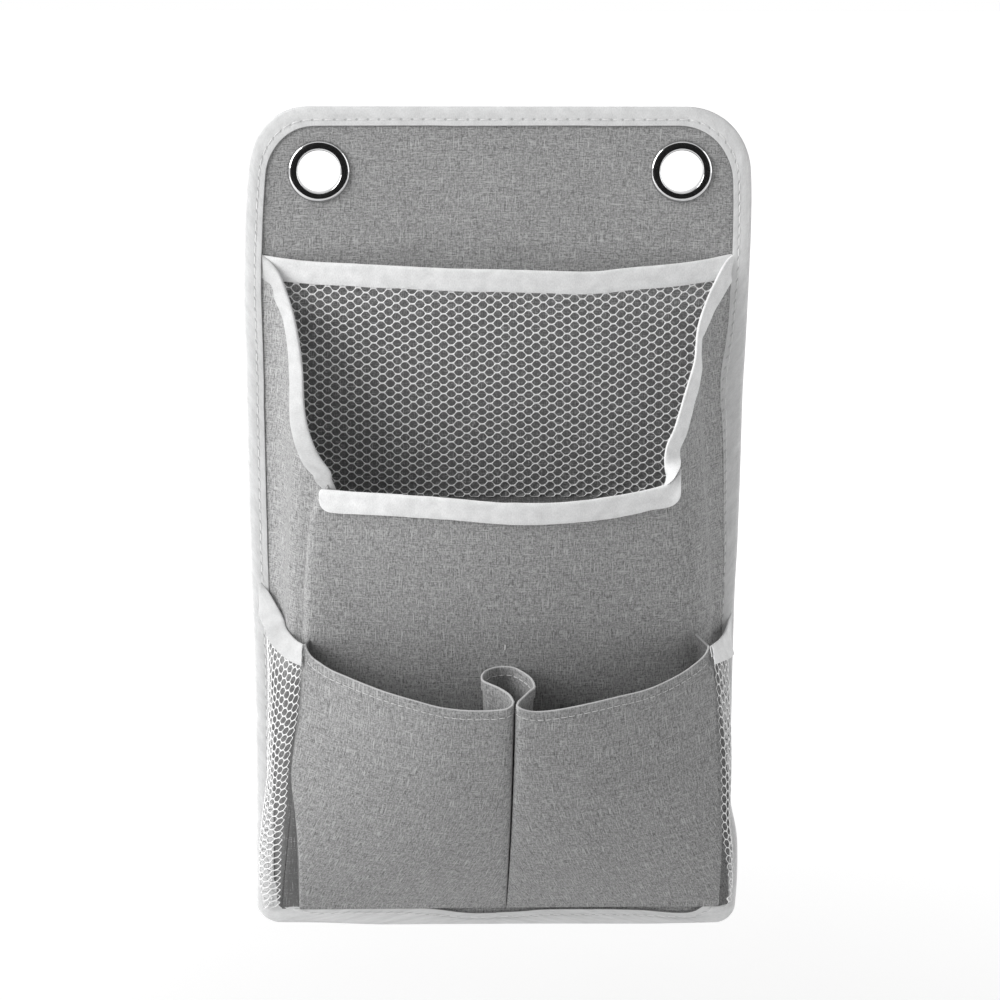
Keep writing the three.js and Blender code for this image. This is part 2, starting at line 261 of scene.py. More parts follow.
def tube_faces(first, sides, rings):
    """The faces that join rings of points, where each ring follows the one before it."""
    faces = []
    for ring in range(rings - 1):
        for k in range(sides):
            a = first + ring * sides + k
            b = first + ring * sides + (k + 1) % sides
            faces.append((a, b, b + sides, a + sides))
    return faces


def thread_piece(name, runs, radius, finish):
    """Short stitches: each run is (start, end, out), and the thread dips into the cloth at both ends."""
    points, faces = [], []
    sides = 6
    bends = ((0.0, -0.55), (0.12, 0.1), (0.5, 0.25), (0.88, 0.1), (1.0, -0.55))
    for start, end, out in runs:
        across = unit(np.cross(out, unit(end - start)))
        faces += tube_faces(len(points), sides, len(bends))
        for share, height in bends:
            centre = blend(start, end, share) + out * height * radius * 2
            for k in range(sides):
                angle = 2 * math.pi * k / sides
                points.append(centre + radius * (math.cos(angle) * across + math.sin(angle) * out))
    return make_piece(name, np.array(points), faces, finish)


def stitch_line(points, outs, pitch, length):
    """Stitches of one length at an even pitch along a line on the cloth, counted from its middle point."""
    travelled = distance_along(points)
    middle = travelled[len(points) // 2]
    before = int((middle - length) / pitch)
    after = int((travelled[-1] - middle - length) / pitch)

    def pick(values, where):
        return np.array([np.interp(where, travelled, values[:, k]) for k in range(3)])

    runs = []
    for k in range(-before, after + 1):
        start = middle + k * pitch - length / 2
        out = unit(pick(outs, start + length / 2))
        runs.append((pick(points, start), pick(points, start + length), out))
    return runs


# Materials


class Wire:
    """A value in a material, so that shader maths reads as ordinary maths."""

    def __init__(self, finish, socket):
        self.finish = finish
        self.socket = socket

    def maths(self, operation, *values):
        return self.finish.node("ShaderNodeMath", {"operation": operation}, dict(enumerate(values)))

    def __add__(self, other):
        return self.maths("ADD", self, other)

    __radd__ = __add__

    def __sub__(self, other):
        return self.maths("SUBTRACT", self, other)

    def __mul__(self, other):
        return self.maths("MULTIPLY", self, other)

    def __truediv__(self, other):
        return self.maths("DIVIDE", self, other)

    def sine(self):
        return self.maths("SINE", self)

    def root(self):
        return self.maths("SQRT", self)

    def size(self):
        return self.maths("ABSOLUTE", self)

    def part_of(self, length):
        """Where the value is within each length, from 0 to 1."""
        return self.maths("FRACT", self / length)

    def or_more(self, other):
        return self.maths("MAXIMUM", self, other)

    def ramp(self, low, high, start=0.0, end=1.0):
        """Goes smoothly from start at low to end at high."""
        settings = {"interpolation_type": "SMOOTHSTEP"}
        sockets = {"Value": self, "From Min": low, "From Max": high, "To Min": start, "To Max": end}
        return self.finish.node("ShaderNodeMapRange", settings, sockets)


class Board:
    """The nodes of one material, or of the studio's surroundings."""

    def __init__(self, tree):
        self.tree = tree
        self.tree.nodes.clear()

    def node(self, kind, settings=None, sockets=None, out=0):
        made = self.tree.nodes.new(kind)
        for name, value in (settings or {}).items():
            setattr(made, name, value)
        for name, value in (sockets or {}).items():
            if isinstance(value, Wire):
                self.tree.links.new(value.socket, made.inputs[name])
            else:
                made.inputs[name].default_value = value
        return Wire(self, made.outputs[out]) if made.outputs else None

    def mix(self, mask, dark, light):
        sockets = {0: mask, 6: dark, 7: light}
        return self.node("ShaderNodeMix", {"data_type": "RGBA"}, sockets, 2)

    def seen_ray(self):
        """1 where the camera, a reflection or clear glass looks, and 0 for the light itself."""
        camera, glossy, clear = (self.node("ShaderNodeLightPath", None, None, out) for out in (0, 3, 6))
        return camera.or_more(glossy).or_more(clear)


class Finish(Board):
    """One material under construction, on a Principled shader."""

    def __init__(self, name, **constants):
        self.material = bpy.data.materials.new(name)
        self.material.use_nodes = True
        super().__init__(self.material.node_tree)
        constants = {socket.replace("_", " "): value for socket, value in constants.items()}
        surface = self.node("ShaderNodeBsdfPrincipled", None, constants)
        self.shader = surface.socket.node
        self.node("ShaderNodeOutputMaterial", None, {"Surface": surface})

    def axis(self, vector, which):
        """One coordinate of a vector: 0 is x, 1 is y and 2 is z."""
        return self.node("ShaderNodeSeparateXYZ", None, {0: vector}, which)

    def flat_place(self, title):
        """Where a point lies on the flat piece, in millimetres, as x and y."""
        cut = self.node("ShaderNodeUVMap", {"uv_map": title})
        scaled = self.node("ShaderNodeVectorMath", {"operation": "SCALE"}, {0: cut, "Scale": 1000.0})
        return self.axis(scaled, 0), self.axis(scaled, 1)

    def noise(self, x, y, detail=2.0, roughness=0.5, seed=0.0):
        spot = self.node("ShaderNodeCombineXYZ", None, {0: x, 1: y, 2: seed})
        sockets = {"Vector": spot, "Scale": 1.0, "Detail": detail, "Roughness": roughness}
        return self.node("ShaderNodeTexNoise", None, sockets)

    def speckle(self, scale, detail):
        """Where a point lies on the object, and noise there."""
        spot = self.node("ShaderNodeTexCoord", None, None, 3)
        sockets = {"Vector": spot, "Scale": scale, "Detail": detail}
        return spot, self.node("ShaderNodeTexNoise", None, sockets)

    def bump(self, height, distance, strength=1.0):
        sockets = {"Height": height, "Distance": distance * MM, "Strength": strength}
        return self.node("ShaderNodeBump", None, sockets)

    def give(self, **wires):
        for socket, wire in wires.items():
            self.tree.links.new(wire.socket, self.shader.inputs[socket.replace("_", " ")])
        return self.material


def grey(level, tint=(1.0, 1.0, 1.0)):
    return tuple(level * part for part in tint) + (1.0,)


def linen_finish(name, level, hem=None, warp=0.5, weft=0.5, painted_shade_spans=()):
    """Heathered grey linen-look cloth: a plain weave with light and dark slubs in both directions.

    hem is where the rolled edge lies on the cut, and the cloth is painted brighter along it as a highlight.
    The spans of x and z, in metres, behind a net, are where the cloth is painted darker as shade, each with
    how much darker it is.
    """
    finish = Finish(name, Roughness=0.9, Specular_IOR_Level=0.2, Sheen_Weight=0.12, Sheen_Roughness=0.5)
    x, y = finish.flat_place("grain")
    wander = finish.noise(x / 23.0, y / 23.0, seed=3.0)
    across = x + wander * 1.4
    along = y + wander * 1.2
    warp_yarn = finish.noise(across * 1.2, along / 3.4, 2.0, 0.6, 1.0)
    weft_yarn = finish.noise(across / 3.4, along * 1.2, 2.0, 0.6, 7.0)
    fleck = finish.noise(across * 0.85, along * 0.85, 3.0, 0.75, 12.0)
    cloud = finish.noise(x / 40.0, y / 40.0, 2.0, 0.5, 20.0)
    light_slub = finish.noise(across * 1.3, along / 12.0, 0.0, 0.5, 31.0).ramp(0.66, 0.76)
    light_pick = finish.noise(across / 12.0, along * 1.3, 0.0, 0.5, 37.0).ramp(0.66, 0.76)
    dark_slub = finish.noise(across * 1.2, along / 9.0, 0.0, 0.5, 43.0).ramp(0.68, 0.78)
    dark_pick = finish.noise(across / 9.0, along * 1.2, 0.0, 0.5, 49.0).ramp(0.68, 0.78)
    tone = (warp_yarn - 0.5) * (warp * 2.6) + (weft_yarn - 0.5) * (weft * 2.6) + (fleck - 0.5) * 1.9
    tone = tone + light_slub * (0.9 * warp) + light_pick * (0.9 * weft) + (cloud - 0.5) * 0.14
    tone = tone - dark_slub * (0.7 * warp) - dark_pick * (0.7 * weft) + 0.48
    # Painted shade: the cloth is coloured darker in each span behind a net.
    for left, right, top, bottom, darker in painted_shade_spans:
        spot = finish.node("ShaderNodeTexCoord", None, None, 3)
        object_x, object_z = finish.axis(spot, 0), finish.axis(spot, 2)
        inside = object_x.ramp(left, left + 0.012) * object_x.ramp(right - 0.012, right, 1.0, 0.0)
        inside = inside * object_z.ramp(top - 0.03, top, 1.0, 0.0) * object_z.ramp(bottom, bottom + 0.02)
        tone = tone - inside * darker
    colour = finish.mix(tone, grey(level * 0.5), grey(level * 1.5))
    if hem is not None:
        from_hem = finish.flat_place("cut")[1] + hem
        # A painted highlight: the cloth is coloured brighter along the rolled edge of the hem, where light
        # catches the fold.
        edge = from_hem.size().ramp(0.4, 1.2, 0.8, 0.0)
        colour = finish.mix(edge, colour, grey(level * 1.9))
    turn = 2 * math.pi / 0.62
    weave = (across * turn).sine() * (along * turn).sine()
    height = weave * 0.12 + warp_yarn * warp * 2 + weft_yarn * weft * 2 + light_slub * 0.5
    bump = finish.bump(height, 0.18, 0.8)
    return finish.give(Base_Color=colour, Normal=bump)


def tape_finish(name, stitch=None, level=1.0):
    """White woven binding tape.

    stitch is (line, pitch) for needle holes at a distance from the tape's free edge, which is cut. The holes
    and the stitch line are painted darker as shade, and a thin dark line along the free edge is a painted
    shadow, where the tape stands off the cloth.
    """
    finish = Finish(name, Roughness=0.75, Specular_IOR_Level=0.3, Sheen_Weight=0.08)
    x, y = finish.flat_place("cut")
    rib = (x * (2 * math.pi / 0.9)).sine()
    # Soft random patches, lighter and darker in the tape's tone and raised in its bump.
    mottle = finish.noise(x / 9.0, y / 9.0, 4.0, 0.6, 2.0)
    yarn = finish.noise(x * 1.6, y / 1.4, 2.0, 0.6, 5.0)
    tone = 0.6 + (mottle - 0.5) * 0.95 + (yarn - 0.5) * 0.75 + rib * 0.04
    height = rib * 0.25 + yarn * 0.7 + mottle * 1.2
    if stitch is not None:
        line, pitch = stitch
        along = (x.part_of(pitch) - 0.5) * pitch
        off = y + line
        away = (along * along + off * off).root()
        hole = away.ramp(0.4, 0.95, 1.0, 0.0)
        pucker = off.size().ramp(0.2, 1.6, 1.0, 0.0)
        # Painted shade: the needle holes and the groove along the stitch line are coloured darker.
        tone = tone - hole * 1.3 - pucker * 0.1
        height = height - hole * 1.5 - pucker * 0.5
    dark, light = grey(0.5 * level, (1.0, 1.004, 1.006)), grey(0.86 * level, (1.0, 1.003, 1.005))
    colour = finish.mix(tone, dark, light)
    if stitch is not None:
        # A painted shadow: a thin dark line along the free edge, where the tape stands off the cloth.
        painted_edge_shadow = y.size().ramp(0.22, 0.62, 0.85, 0.0)
        colour = finish.mix(painted_edge_shadow, colour, grey(0.1))
    return finish.give(Base_Color=colour, Normal=finish.bump(height, 0.12, 0.6))


def net_finish():
    """White knitted yarn of the net, each strand a bundle of filaments."""
    finish = Finish("knitted_net_yarn", Roughness=0.7, Specular_IOR_Level=0.3, Sheen_Weight=0.1)
    x, y = finish.flat_place("cut")
    yarn = finish.noise(x * 3.1, y * 3.1, 2.0, 0.6, 4.0)
    cloud = finish.noise(x / 12.0, y / 12.0, 2.0, 0.5, 9.0)
    tone = yarn * 0.7 + cloud * 0.5 - 0.1
    colour = finish.mix(tone, grey(0.78), grey(0.96))
    return finish.give(Base_Color=colour, Normal=finish.bump(yarn, 0.12, 0.5))


def chrome_finish():
    finish = Finish("polished_chrome", Metallic=1.0, Roughness=0.07)
    _, mist = finish.speckle(220.0, 3.0)
    colour = finish.mix(mist, grey(0.5, (1.0, 1.0, 1.01)), grey(0.64, (1.0, 1.0, 1.01)))
    return finish.give(Base_Color=colour, Roughness=mist.ramp(0.3, 0.8, 0.05, 0.13))


def board_finish():
    finish = Finish("stiffening_board", Roughness=0.85)
    _, fibres = finish.speckle(400.0, 5.0)
    colour = finish.mix(fibres, grey(0.36, (1.0, 0.98, 0.93)), grey(0.54, (1.0, 0.98, 0.93)))
    return finish.give(Base_Color=colour, Normal=finish.bump(fibres, 0.08))


def thread_finish(name, level):
    finish = Finish(name, Roughness=0.55, Specular_IOR_Level=0.4)
    _, twist = finish.speckle(1800.0, 2.0)
    colour = finish.mix(twist, grey(level * 0.85), grey(min(level * 1.12, 0.95)))
    return finish.give(Base_Color=colour, Normal=finish.bump(twist, 0.05))


CLOTH_GREY = 0.305
BINDING_STITCH_PITCH = 7.0
LINEN = linen_finish("grey_linen_panel", CLOTH_GREY)
# Spans behind the nets where the cloth is painted darker as shade: x from left to right and z from top to
# bottom in metres, and how much darker.
PAINTED_SHADE_UPPER_NET = (-0.15, 0.15, -0.07, -0.23, 0.45)
PAINTED_SHADE_SIDE_NETS = ((-0.18, -0.118, -0.31, -0.52, 0.6), (0.118, 0.18, -0.31, -0.52, 0.75))
# The face, pocket and hemmed linens are the one grey linen at levels that differ a little: painted light and
# shade, brighter or darker for the light each part gets.
LINEN_FACE = linen_finish("grey_linen_face", CLOTH_GREY * 1.05, painted_shade_spans=(PAINTED_SHADE_UPPER_NET,))
LINEN_POCKET = linen_finish("grey_linen_pocket", CLOTH_GREY * 1.06, None, 0.62, 0.4, PAINTED_SHADE_SIDE_NETS)
LINEN_HEMMED = linen_finish("grey_linen_hemmed", CLOTH_GREY * 0.97, 7.4, 0.66, 0.36)
# The side walls' linen is painted at half the level, as the shade deep in the pocket's sides.
SHADE_PAINTED_SIDE_WALL_LINEN = linen_finish("grey_linen_painted_shade_wall", CLOTH_GREY * 0.5, 7.4, 0.66, 0.36)
# The tapes are one white tape at different levels: the pocket tapes painted brighter as light, and the tapes
# on the left, which face the key light, painted darker as shade.
BINDING_TAPE = tape_finish("white_binding_tape", stitch=(4.35, BINDING_STITCH_PITCH), level=0.98)
POCKET_TAPE = tape_finish("white_pocket_tape", level=1.12)
TAPE_PAINTED_SHADE_LEFT = tape_finish("white_tape_painted_shade", level=0.76)
NET_YARN = net_finish()
CHROME = chrome_finish()
BOARD = board_finish()
WHITE_THREAD = thread_finish("white_thread", 0.86)
GREY_THREAD = thread_finish("pale_grey_thread", 0.62)


# The hanging panel: lining, board, face cloth, binding and eyelets

PANEL_HALF_WIDTH = 160.0
PANEL_TOP = 41.0
PANEL_BOTTOM = -506.0
EYELET_X = 115.0
HOLE_CUT_RADIUS = 16.6

# How far the sewn panel's sides and bottom lie from straight ones: (z, shift), and for the bottom (x, shift)

LEFT_EDGE_SHIFT = (
    (41, 1.0), (13, 1.0), (-12, -1.4), (-38, -3.0), (-75, -4.0), (-115, -3.2), (-168, -2.5), (-221, -2.0),
    (-275, -0.6), (-329, 0.9), (-384, 1.2), (-440, 1.0), (-470, 0.6), (-506, 0.6),
)
RIGHT_EDGE_SHIFT = (
    (41, -1.5), (13, -1.5), (-12, 0.0), (-38, 0.2), (-75, -0.6), (-115, -1.7), (-142, -2.8), (-200, -3.2),
    (-248, -3.9), (-275, -5.0), (-329, -5.3), (-384, -5.2), (-420, -5.0), (-432, -2.5), (-441, 0.4),
    (-468, 1.3), (-490, 0.6), (-506, -1.0),
)
BOTTOM_EDGE_SHIFT = (
    (-160, 2.0), (-120, 1.6), (-78, -0.4), (-40, -0.4), (20, -0.6), (104, -1.5), (160, -0.8),
)


def eased(table, where):
    """A smooth value between the table's points, for cloth that was sewn a little unevenly."""
    table = np.array(sorted(table), float)
    spots = np.asarray(where, float)
    total = 0.0
    for offset in (-9, -6, -3, 0, 3, 6, 9):
        total = total + np.interp(spots + offset, table[:, 0], table[:, 1])
    return total / 7


def settle(x, z):
    """Moves a point of the drawn panel to where the sewn panel has it."""
    share = slope(x, -PANEL_HALF_WIDTH, 2 * PANEL_HALF_WIDTH)
    sideways = blend(eased(LEFT_EDGE_SHIFT, z), eased(RIGHT_EDGE_SHIFT, z), share)
    low = slope(z, -380, -120)
    return x + sideways, z + eased(BOTTOM_EDGE_SHIFT, x) * low


PANEL_CORNERS = ((1, -1, 12.0, -90), (1, 1, 41.0, 0), (-1, 1, 37.0, 90), (-1, -1, 16.0, 180))


def corner_radius(radius, inset):
    """The binding is eased round the corners, so its inner edge turns more gently than a true offset."""
    return max(radius - inset * 0.55, 1.5)


def panel_loop(inset):
    """The panel's outline moved inwards, with the same stations each time, from the middle of the bottom."""
    x_half = PANEL_HALF_WIDTH - inset
    top, bottom = PANEL_TOP - inset, PANEL_BOTTOM + inset
    arcs = []
    for side, up, radius, start in PANEL_CORNERS:
        radius = corner_radius(radius, inset)
        centre_x = side * (x_half - radius)
        centre_z = top - radius if up > 0 else bottom + radius
        turn = np.radians(start + np.linspace(0, 90, 19))
        arcs.append(np.stack([centre_x + radius * np.cos(turn), centre_z + radius * np.sin(turn)], axis=1))
    runs = ((arcs[0][-1], arcs[1][0], 150), (arcs[1][-1], arcs[2][0], 90), (arcs[2][-1], arcs[3][0], 150))
    half = np.array([[0.0, bottom]])
    loop = [blend(half, arcs[0][0], np.linspace(0, 1, 45)[:-1, None])]
    for arc, (start, end, count) in zip(arcs, runs):
        loop.append(arc)
        loop.append(blend(start, end, np.linspace(0, 1, count)[1:-1, None]))
    loop.append(arcs[3])
    loop.append(blend(arcs[3][-1], half, np.linspace(0, 1, 45)[1:, None]))
    loop = np.vstack(loop)
    return np.stack(settle(loop[:, 0], loop[:, 1]), axis=1)


def half_width(side, z, inset):
    """How far the panel reaches to one side at a height, inside its rounded corners."""
    reach = np.full(len(z), PANEL_HALF_WIDTH - inset)
    for across, up, radius, _ in PANEL_CORNERS:
        if across == side:
            radius = corner_radius(radius, inset)
            edge = PANEL_TOP - inset if up > 0 else PANEL_BOTTOM + inset
            over = np.clip(up * (z - edge) + radius, 0, radius)
            reach = np.minimum(reach, PANEL_HALF_WIDTH - inset - radius + np.sqrt(radius ** 2 - over ** 2))
    return reach


def panel_layer(name, node, finish, slot, depth, thickness, wave=0.0):
    """One flat layer of the panel. Its outline ends in the binding, and its holes end under the eyelets."""
    inset = 4.0
    top, bottom = PANEL_TOP - inset, PANEL_BOTTOM + inset
    upper = np.linspace(top, top - 40, 56)
    middle = np.linspace(top - 40, bottom + 14, 118)
    lower = np.linspace(bottom + 14, bottom, 20)
    heights = np.concatenate([upper, middle[1:], lower[1:]])
    share = np.linspace(-1, 1, 91)
    reach_left = half_width(-1, heights, inset)[:, None]
    reach_right = half_width(1, heights, inset)[:, None]
    x = np.where(share < 0, reach_left, reach_right) * share
    z = np.repeat(heights[:, None], len(share), axis=1)
    clear = np.minimum(np.hypot(x - EYELET_X, z), np.hypot(x + EYELET_X, z))
    keep = (clear[:-1, :-1] + clear[1:, :-1] + clear[:-1, 1:] + clear[1:, 1:]) / 4 > HOLE_CUT_RADIUS
    lifted = depth + wave * ripple(x / 45, z / 50, 3.0) * np.clip(clear / 40 - 0.5, 0, 1)
    settled_x, settled_z = settle(x, z)
    cloth = Cloth(place(settled_x, lifted, settled_z).transpose(1, 0, 2))
    made = sew(name, cloth, finish, thickness, (node,), keep)
    if slot == "grey_cloth":
        flat = (float(np.ptp(settled_x)) * MM, float(np.ptp(settled_z)) * MM)
        declare_sheet(cloth, flat=flat)


def make_panel():
    """Each layer's depth is that of its middle, off the wall."""
    panel_layer("rear_lining", "back_lining", LINEN, "grey_cloth", depth=1.55, thickness=0.5)
    panel_layer("stiffening_board", "back_board", BOARD, "board", depth=2.7, thickness=1.2)
    panel_layer(
        "face_cloth", "back_face_cloth", LINEN_FACE, "grey_cloth", depth=3.85, thickness=0.5, wave=0.12)


# How much further the binding reaches in than its usual width: (x, more) and (z, more)

BOTTOM_BINDING_EXTRA = (
    (-160, 8.5), (-149, 7.9), (-137, 2.8), (-125, -1.0), (-114, 0.0), (-102, 1.3), (-90, 2.0), (-68, 2.0),
    (-56, 1.3), (-45, -0.3), (-33, -1.3), (-22, -3.2), (-10, -3.3), (13, -2.6), (24, -1.3), (36, -0.6),
    (82, -0.6), (105, -1.4), (116, -2.6), (128, -4.2), (139, -3.2), (146, 2.6), (149, 7.0), (160, 8.0),
)
RIGHT_BINDING_EXTRA = (
    (41, 0.0), (-60, 0.0), (-79, 0.6), (-107, 2.2), (-125, 5.4), (-138, 6.4), (-150, 5.4), (-165, 3.8),
    (-190, 2.4), (-225, 1.4), (-270, 0.0), (-506, 0.0),
)
# The heights where a pocket's tape ends under the binding and lifts it

TAPES_UNDER_BINDING = (-64.0, -294.0)


def make_binding():
    """One tape folded round the panel's edge and stitched through near its free edge."""
    stitched = (7.7, 4.76)
    section = [(12.0, 4.74), (11.6, 4.88), (11.0, 4.9), (9.6, 4.86), (8.4, 4.82), stitched, (7.0, 4.82)]
    section += [(6.0, 4.86), (4.4, 4.86), (3.2, 4.74), (2.3, 4.5)]
    for turn in np.radians(np.linspace(62, -62, 7)):
        section.append((2.3 - 2.2 * math.cos(turn), 2.7 + 1.95 * math.sin(turn)))
    section += [(2.6, 0.75), (5.0, 0.75), (8.5, 0.75), (12.0, 0.75)]
    outer = panel_loop(0.0)
    columns = np.zeros((len(outer), len(section), 3))
    travelled = distance_along(outer)
    along_bottom = slope(outer[:, 1], -478, -16)
    extra = eased(BOTTOM_BINDING_EXTRA, outer[:, 0]) * along_bottom
    extra = extra + eased(RIGHT_BINDING_EXTRA, outer[:, 1]) * (outer[:, 0] > 120)
    over_pockets = slope(outer[:, 1], -34, -12) * 0.8
    for z in TAPES_UNDER_BINDING:
        over_pockets = over_pockets + 0.5 * np.exp(-((outer[:, 1] - z) / 11) ** 2)
    for row, (inset, depth) in enumerate(section):
        loop = panel_loop(inset)
        wobble = 0.0 if inset < 2 else 0.3 * ripple(travelled / 23, travelled / 31, inset / 40)
        wobble = wobble - extra * inset / 12
        away = unit(loop - panel_loop(inset + 0.5))
        front = slope(depth, 3.2, 1.3)
        puff = 0.14 * ripple(travelled / 7, inset / 3, 5.0) * front
        raised = depth + puff + over_pockets * front * blend(0.4, 1.0, slope(inset, 0, 9))
        columns[:, row] = place(loop[:, 0] + away[:, 0] * wobble, raised, loop[:, 1] + away[:, 1] * wobble)
    cloth = Cloth(columns)
    made = sew("edge_binding", cloth, BINDING_TAPE, 0.5, ("perimeter_binding",))
    row = section.index(stitched)
    line = cloth.points[row] + cloth.out[row] * 0.28
    runs = stitch_line(line, cloth.out[row], BINDING_STITCH_PITCH, 5.0)
    threads = thread_piece("binding_stitches", runs, 0.24, WHITE_THREAD)
    declare_sheet(cloth)


def ring_piece(name, profile, centre_x, node):
    """A metal ring turned from a profile of (radius, depth) points."""
    sides = 128
    turn = np.linspace(0, 2 * math.pi, sides, endpoint=False)
    points = []
    for radius, depth in profile:
        points.extend(place(centre_x + radius * np.cos(turn), depth, radius * np.sin(turn)))
    faces = np.array(tube_faces(0, sides, len(profile) + 1)) % len(points)
    return make_piece(name, points, faces, CHROME, None, (node,), 40)


def rounded_profile(knots, count):
    line = line_through([(radius, depth, 0.0) for radius, depth in knots], count)
    return [(point[0], -point[1]) for point in line]


def make_eyelets():
    face = rounded_profile(
        ((19.8, 4.3), (19.65, 4.9), (19.1, 5.75), (18.2, 6.4), (17.2, 6.8), (16.2, 6.95), (15.2, 6.9),
         (14.4, 6.65), (13.8, 6.25), (13.45, 5.5), (13.28, 4.4), (13.22, 3.0), (13.2, 1.5), (13.3, 0.35)),
        52)
    hidden = [(13.9, 0.35), (13.9, 3.0), (14.5, 4.8), (16.4, 5.9), (18.6, 5.0), (19.5, 4.25)]
    washer = rounded_profile(
        ((14.0, 0.9), (14.1, 0.35), (14.8, 0.05), (16.5, 0.0), (18.6, 0.1), (19.6, 0.5), (19.7, 0.95)), 24)
    washer_top = [(19.0, 1.2), (14.6, 1.2)]
    for side, centre_x in (("left", -EYELET_X), ("right", EYELET_X)):
        ring_piece(f"{side}_eyelet_ring", face + hidden, centre_x, f"eyelet_{side}")
        ring_piece(f"{side}_eyelet_washer_ring", washer + washer_top, centre_x, f"eyelet_washer_{side}")


# The upper net pocket

NET_FOOT = -212.0
NET_LEFT, NET_RIGHT = -150.5, 148.0
NET_SEAM_DEPTH, NET_RIM_DEPTH, NET_SLACK = 4.7, 4.75, 14.0
CELL_STEP = 4.95
CELL_HEIGHT = 6.15
STRAND_WIDTH = 1.0
YARN_THICKNESS = 0.7


def hex_net(name, cloth, node, height, flat_top, pull=None, from_right=False, slant=0.0, start=0.2):
    """A knitted net of rounded hexagons over the cloth's shape, every strand rounded front and back.

    slant is how far the rows of cells fall for each millimetre across. start is the first column's place.
    """
    step, strand, yarn = CELL_STEP, STRAND_WIDTH, YARN_THICKNESS
    columns = int(cloth.width / step) + 3
    rows = int(cloth.length / height) + 2
    first_row = -int(slant * cloth.width / height) - 1
    row_widths = np.ptp(cloth.across, axis=1)

    def width_at(down):
        return np.interp(down / cloth.length * (cloth.rows - 1), np.arange(cloth.rows), row_widths)

    def laid(spots):
        """Where points of the flat net lie once it has been pulled over the pocket."""
        moved = spots.copy()
        moved[:, 0] += 0.5 * ripple(spots[:, 0] / 14, spots[:, 1] / 17, 2.0)
        moved[:, 1] += 0.6 * ripple(spots[:, 1] / 13, spots[:, 0] / 19, 6.0) + slant * spots[:, 0]
        return moved if pull is None else pull(moved)

    shoulder = step * flat_top
    reach = step - shoulder
    corner = np.array([
        (reach, 0), (shoulder, height / 2), (-shoulder, height / 2),
        (-reach, 0), (-shoulder, -height / 2), (shoulder, -height / 2),
    ])
    outline = []
    for here, after in zip(corner, np.roll(corner, -1, axis=0)):
        outline.extend([here, (here + after) / 2])
    outline = np.array(outline)
    angle = np.arctan2(outline[:, 1] / height, outline[:, 0] / (2 * reach))
    oval = np.stack([(reach - strand * 0.62) * np.cos(angle), (height - strand) / 2 * np.sin(angle)], axis=1)
    straight = outline * np.array([1 - strand * 0.62 / reach, 1 - strand / height])
    opening = blend(oval, straight, 0.45)
    middle = blend(outline, opening, 0.6)
    at_joint = yarn / 2 * np.tile([1.2, 0.9], 6)
    on_strand = yarn / 2 * 0.78 * np.ones(12)
    rings = (
        (outline, at_joint), (middle, on_strand), (opening, 0 * on_strand),
        (middle, -on_strand), (outline, -at_joint),
    )
    flat, lift, faces = [], [], []
    for column in range(columns):
        for row in range(first_row, rows):
            centre = np.array([(column + start) * step, (row + 0.5 * (column % 2)) * height])
            across, down = laid(centre[None])[0]
            if across > width_at(down) - 0.3 or not 0.5 < down < cloth.length - 0.5:
                continue
            faces += tube_faces(len(flat), len(outline), len(rings))
            for ring, rise in rings:
                flat.extend(centre + ring)
                lift.extend(rise)
    flat, lift = np.array(flat), np.array(lift)
    pulled = laid(flat)
    pulled[:, 1] = np.clip(pulled[:, 1], 0, cloth.length)
    share = np.clip(pulled[:, 0] / width_at(pulled[:, 1]), 0, 1)
    share = 1 - share if from_right else share
    column = share * (cloth.cols - 1)
    length = np.interp(column, np.arange(cloth.cols), cloth.lengths)
    points = cloth.at(share, pulled[:, 1] / cloth.length * length, lift)
    made = make_piece(name, points, faces, NET_YARN, {"cut": flat}, (node,), 80)
    work = bmesh.new()
    work.from_mesh(made.data)
    bmesh.ops.remove_doubles(work, verts=work.verts, dist=0.00002)
    thin = [face for face in work.faces if face.calc_area() < 1e-12]
    bmesh.ops.delete(work, geom=thin, context="FACES")
    bmesh.ops.recalc_face_normals(work, faces=work.faces)
    work.to_mesh(made.data)
    work.free()
    made.data.shade_smooth()
    return made


def sew_along(name, cloth, down, pitch, span=(0.02, 0.98, 401), lift=0.3, radius=0.2, white=True):
    """A row of stitches at a distance below a cloth's upper edge, over a span of shares across it."""
    spots = np.linspace(*span)
    line = cloth.at(spots, down, lift)
    runs = stitch_line(line, unit(cloth.at(spots, down, lift + 1.0) - line), pitch, pitch * 0.74)
    finish, slot = (WHITE_THREAD, "white_tape") if white else (GREY_THREAD, "grey_cloth")
    return thread_piece(name, runs, radius, finish)


TAPE_REACH = 155.5
TAPE_REAR_DEPTH = 4.45
LIMIT_STEP = 0.03


